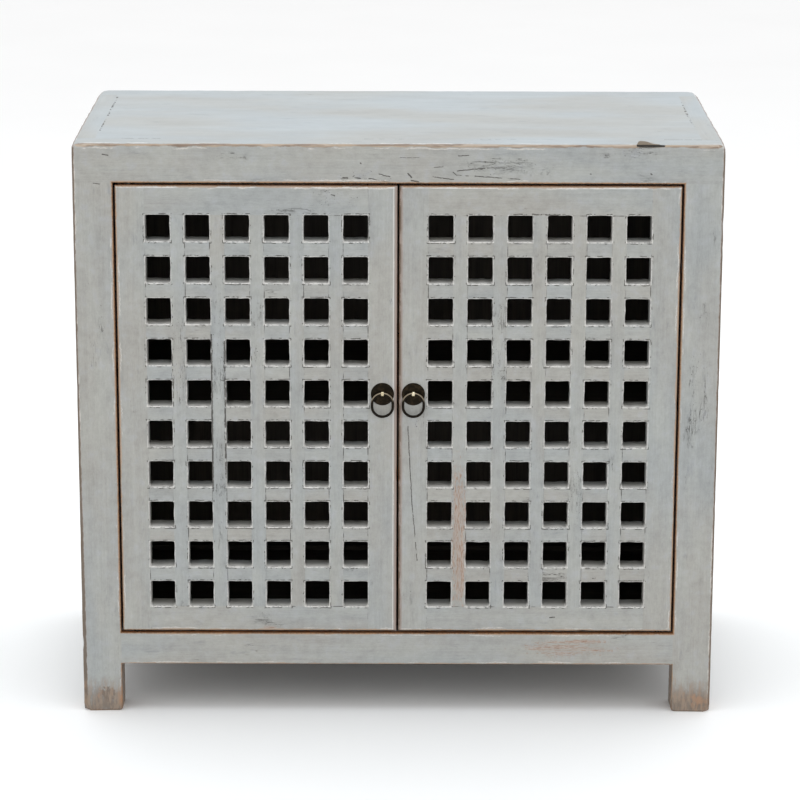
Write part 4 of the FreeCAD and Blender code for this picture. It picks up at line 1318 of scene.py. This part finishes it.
def hoop(bm, centre, normal_axis, radius, thick, wide, around=96, section=16, dent=0.0, straight=0.0):
    """A ring of wire or strap round a centre, its hole along x or y, its sides straight for a little."""
    rings = []
    for step in range(around):
        angle = 2 * math.pi * (step + 0.5) / around
        out = Vector((0, math.cos(angle), math.sin(angle)))
        across = Vector((1, 0, 0))
        if normal_axis == "y":
            out = Vector((math.cos(angle), 0, math.sin(angle)))
            across = Vector((0, 1, 0))
        middle = centre + out * radius
        middle.z += math.copysign(straight / 2, out.z)
        ring = []
        for turn in range(section):
            part = 2 * math.pi * turn / section
            bump = 1.0 + dent * noise.noise(middle * 240.0 + across * part)
            shift = out * (thick * math.cos(part) * bump) + across * (wide * math.sin(part) * bump)
            ring.append(bm.verts.new(middle + shift))
        rings.append(ring)
    skin(bm, rings + rings[:1])


def pin(bm, radius, length, segments, place):
    """A round pin, put in place by a matrix."""
    sizes = {"radius1": radius, "radius2": radius, "depth": length}
    made = bmesh.ops.create_cone(bm, cap_ends=True, segments=segments, **sizes)
    bmesh.ops.transform(bm, verts=made["verts"], matrix=place)


def metal_piece(name, bm, body, node, finish):
    """A piece of metal that stands for one node, smooth all over."""
    as_piece(name, bm, body, [node], None, (finish,)).data.shade_smooth()


def make_pull(side):
    """The round plate, the brass eye and the ring on one door."""
    body = f"{side}_door"
    low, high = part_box(f"{side}_pull_plate")
    centre = Vector(((low.x + high.x) / 2, FRONT, (low.z + high.z) / 2))
    radius = (high.x - low.x) / 2
    thick = high.y - low.y
    profile = [
        (0.0, 0.0),
        (radius - 0.0004, 0.0),
        (radius, 0.0003),
        (radius - 0.0003, 0.0008),
        (radius - 0.0012, 0.00105),
        (radius * 0.80, 0.00125),
        (radius * 0.55, 0.00145),
        (radius * 0.25, thick - 0.0001),
        (0.0, thick),
    ]
    bm = bmesh.new()
    lathe(bm, centre, profile)
    for vert in bm.verts:
        if vert.co.y < FRONT - 0.0009:
            vert.co.y += 0.00025 * noise.noise(vert.co * 260.0)
    metal_piece(f"{side}_plate", bm, body, f"{side}_pull_plate", "bronze")

    low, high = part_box(f"{side}_pull_ring")
    wire = (high.y - low.y) / 2
    ring_radius = (high.x - low.x) / 2 - wire
    middle = (low + high) / 2
    bm = bmesh.new()
    straight = high.z - low.z - (high.x - low.x)
    hoop(bm, middle, "y", ring_radius, wire + 0.0002, wire + 0.0002, dent=0.08, straight=straight)
    metal_piece(f"{side}_ring_worn", bm, f"{side}_ring", f"{side}_pull_ring", "ring")

    eye = Vector((middle.x, middle.y, high.z - wire))
    play, strap = 0.0004, 0.0008
    bm = bmesh.new()
    hoop(bm, eye, "x", wire + play + strap, strap, 0.0024, around=48, section=12, dent=0.05)
    turned = Matrix.Rotation(math.pi / 2, 4, "X")
    back = Matrix.Translation((eye.x, (DOOR_BACK + eye.y + 0.0015) / 2 + 0.0008, eye.z))
    pin(bm, 0.0014, abs(DOOR_BACK - eye.y) - 0.0015, 12, back @ turned)
    pin(bm, 0.0012, 0.016, 10, Matrix.Translation((eye.x, DOOR_BACK + 0.0011, eye.z)))
    metal_piece(f"{side}_eye", bm, body, f"{side}_pull_staple", "brass")


def finish_pivots():
    """Iron for the pins that the doors turn on, which stay as they are."""
    for side in SIDES:
        for level in ("lower", "upper"):
            pivot = nodes[f"{side}_door_{level}_pivot"]
            pivot.data.materials.clear()
            pivot.data.materials.append(MATERIALS["iron"])


# Stage


def make_stage():
    """A pale floor, soft light from above and in front, and the camera."""
    mesh = bpy.data.meshes.new("floor")
    reach = 14.0
    square = [(-reach, -reach, 0), (reach, -reach, 0), (reach, reach, 0), (-reach, reach, 0)]
    mesh.from_pydata(square, [], [(0, 1, 2, 3)])
    floor = placed("floor", mesh)
    material, t = new_material("pale_floor")
    cloud = t.spots(0.5, 2.0, 51.0)
    colour = t.blend(cloud, srgb(246, 246, 246), srgb(250, 250, 250))
    surface(material, colour, t.ramp(cloud, 0.0, 1.0, 0.85, 0.95), cloud, 0.00005)
    mesh.materials.append(material)

    world = bpy.data.worlds.new("studio")
    scene.world = world
    world.use_nodes = True
    background = world.node_tree.nodes["Background"]
    background.inputs["Color"].default_value = (1.0, 1.0, 1.0, 1.0)
    background.inputs["Strength"].default_value = 1.0
    add_light("top_light", (0.0, 0.2, 3.4), (0.0, 0.0, 0.8), 3.0, 56.0, (0.86, 0.94, 1.0))

    camera = placed("camera", bpy.data.cameras.new("camera"))
    camera.data.sensor_width = 36.0
    camera.data.lens = 134.5
    camera.data.shift_y = -0.125
    camera.data.clip_end = 60.0
    camera.matrix_world = aim((-0.009, -4.492, 1.692), 0.157, 13.821, 0.184)
    scene.camera = camera
    scene.view_settings.view_transform = "Standard"
    scene.view_settings.look = "None"


def add_light(name, place, target, size, power, colour):
    light = bpy.data.lights.new(name, "AREA")
    light.shape = "SQUARE"
    light.size = size
    light.energy = power
    light.color = colour
    lamp = placed(name, light)
    lamp.location = place
    lamp.rotation_euler = (Vector(target) - Vector(place)).to_track_quat("-Z", "Y").to_euler()


def aim(place, turn, tilt, roll):
    """The camera's place and direction, from its turn to the right, tilt down and roll in degrees."""
    turn, tilt, roll = (math.radians(angle) for angle in (turn, tilt, roll))
    ahead = Vector((math.sin(turn) * math.cos(tilt), math.cos(turn) * math.cos(tilt), -math.sin(tilt)))
    right = Vector((math.cos(turn), -math.sin(turn), 0.0))
    up = right.cross(ahead)
    right, up = (
        right * math.cos(roll) + up * math.sin(roll),
        up * math.cos(roll) - right * math.sin(roll),
    )
    turned = Matrix((right, up, -ahead)).transposed().to_4x4()
    return Matrix.Translation(place) @ turned


make_stage()
make_frame()
make_flake()
make_inside()
lattice = lattice_tree()
corners = corners_tree()
for side in SIDES:
    make_door_frame(side)
    make_lattice(side, lattice, corners)
    make_pull(side)
finish_pivots()
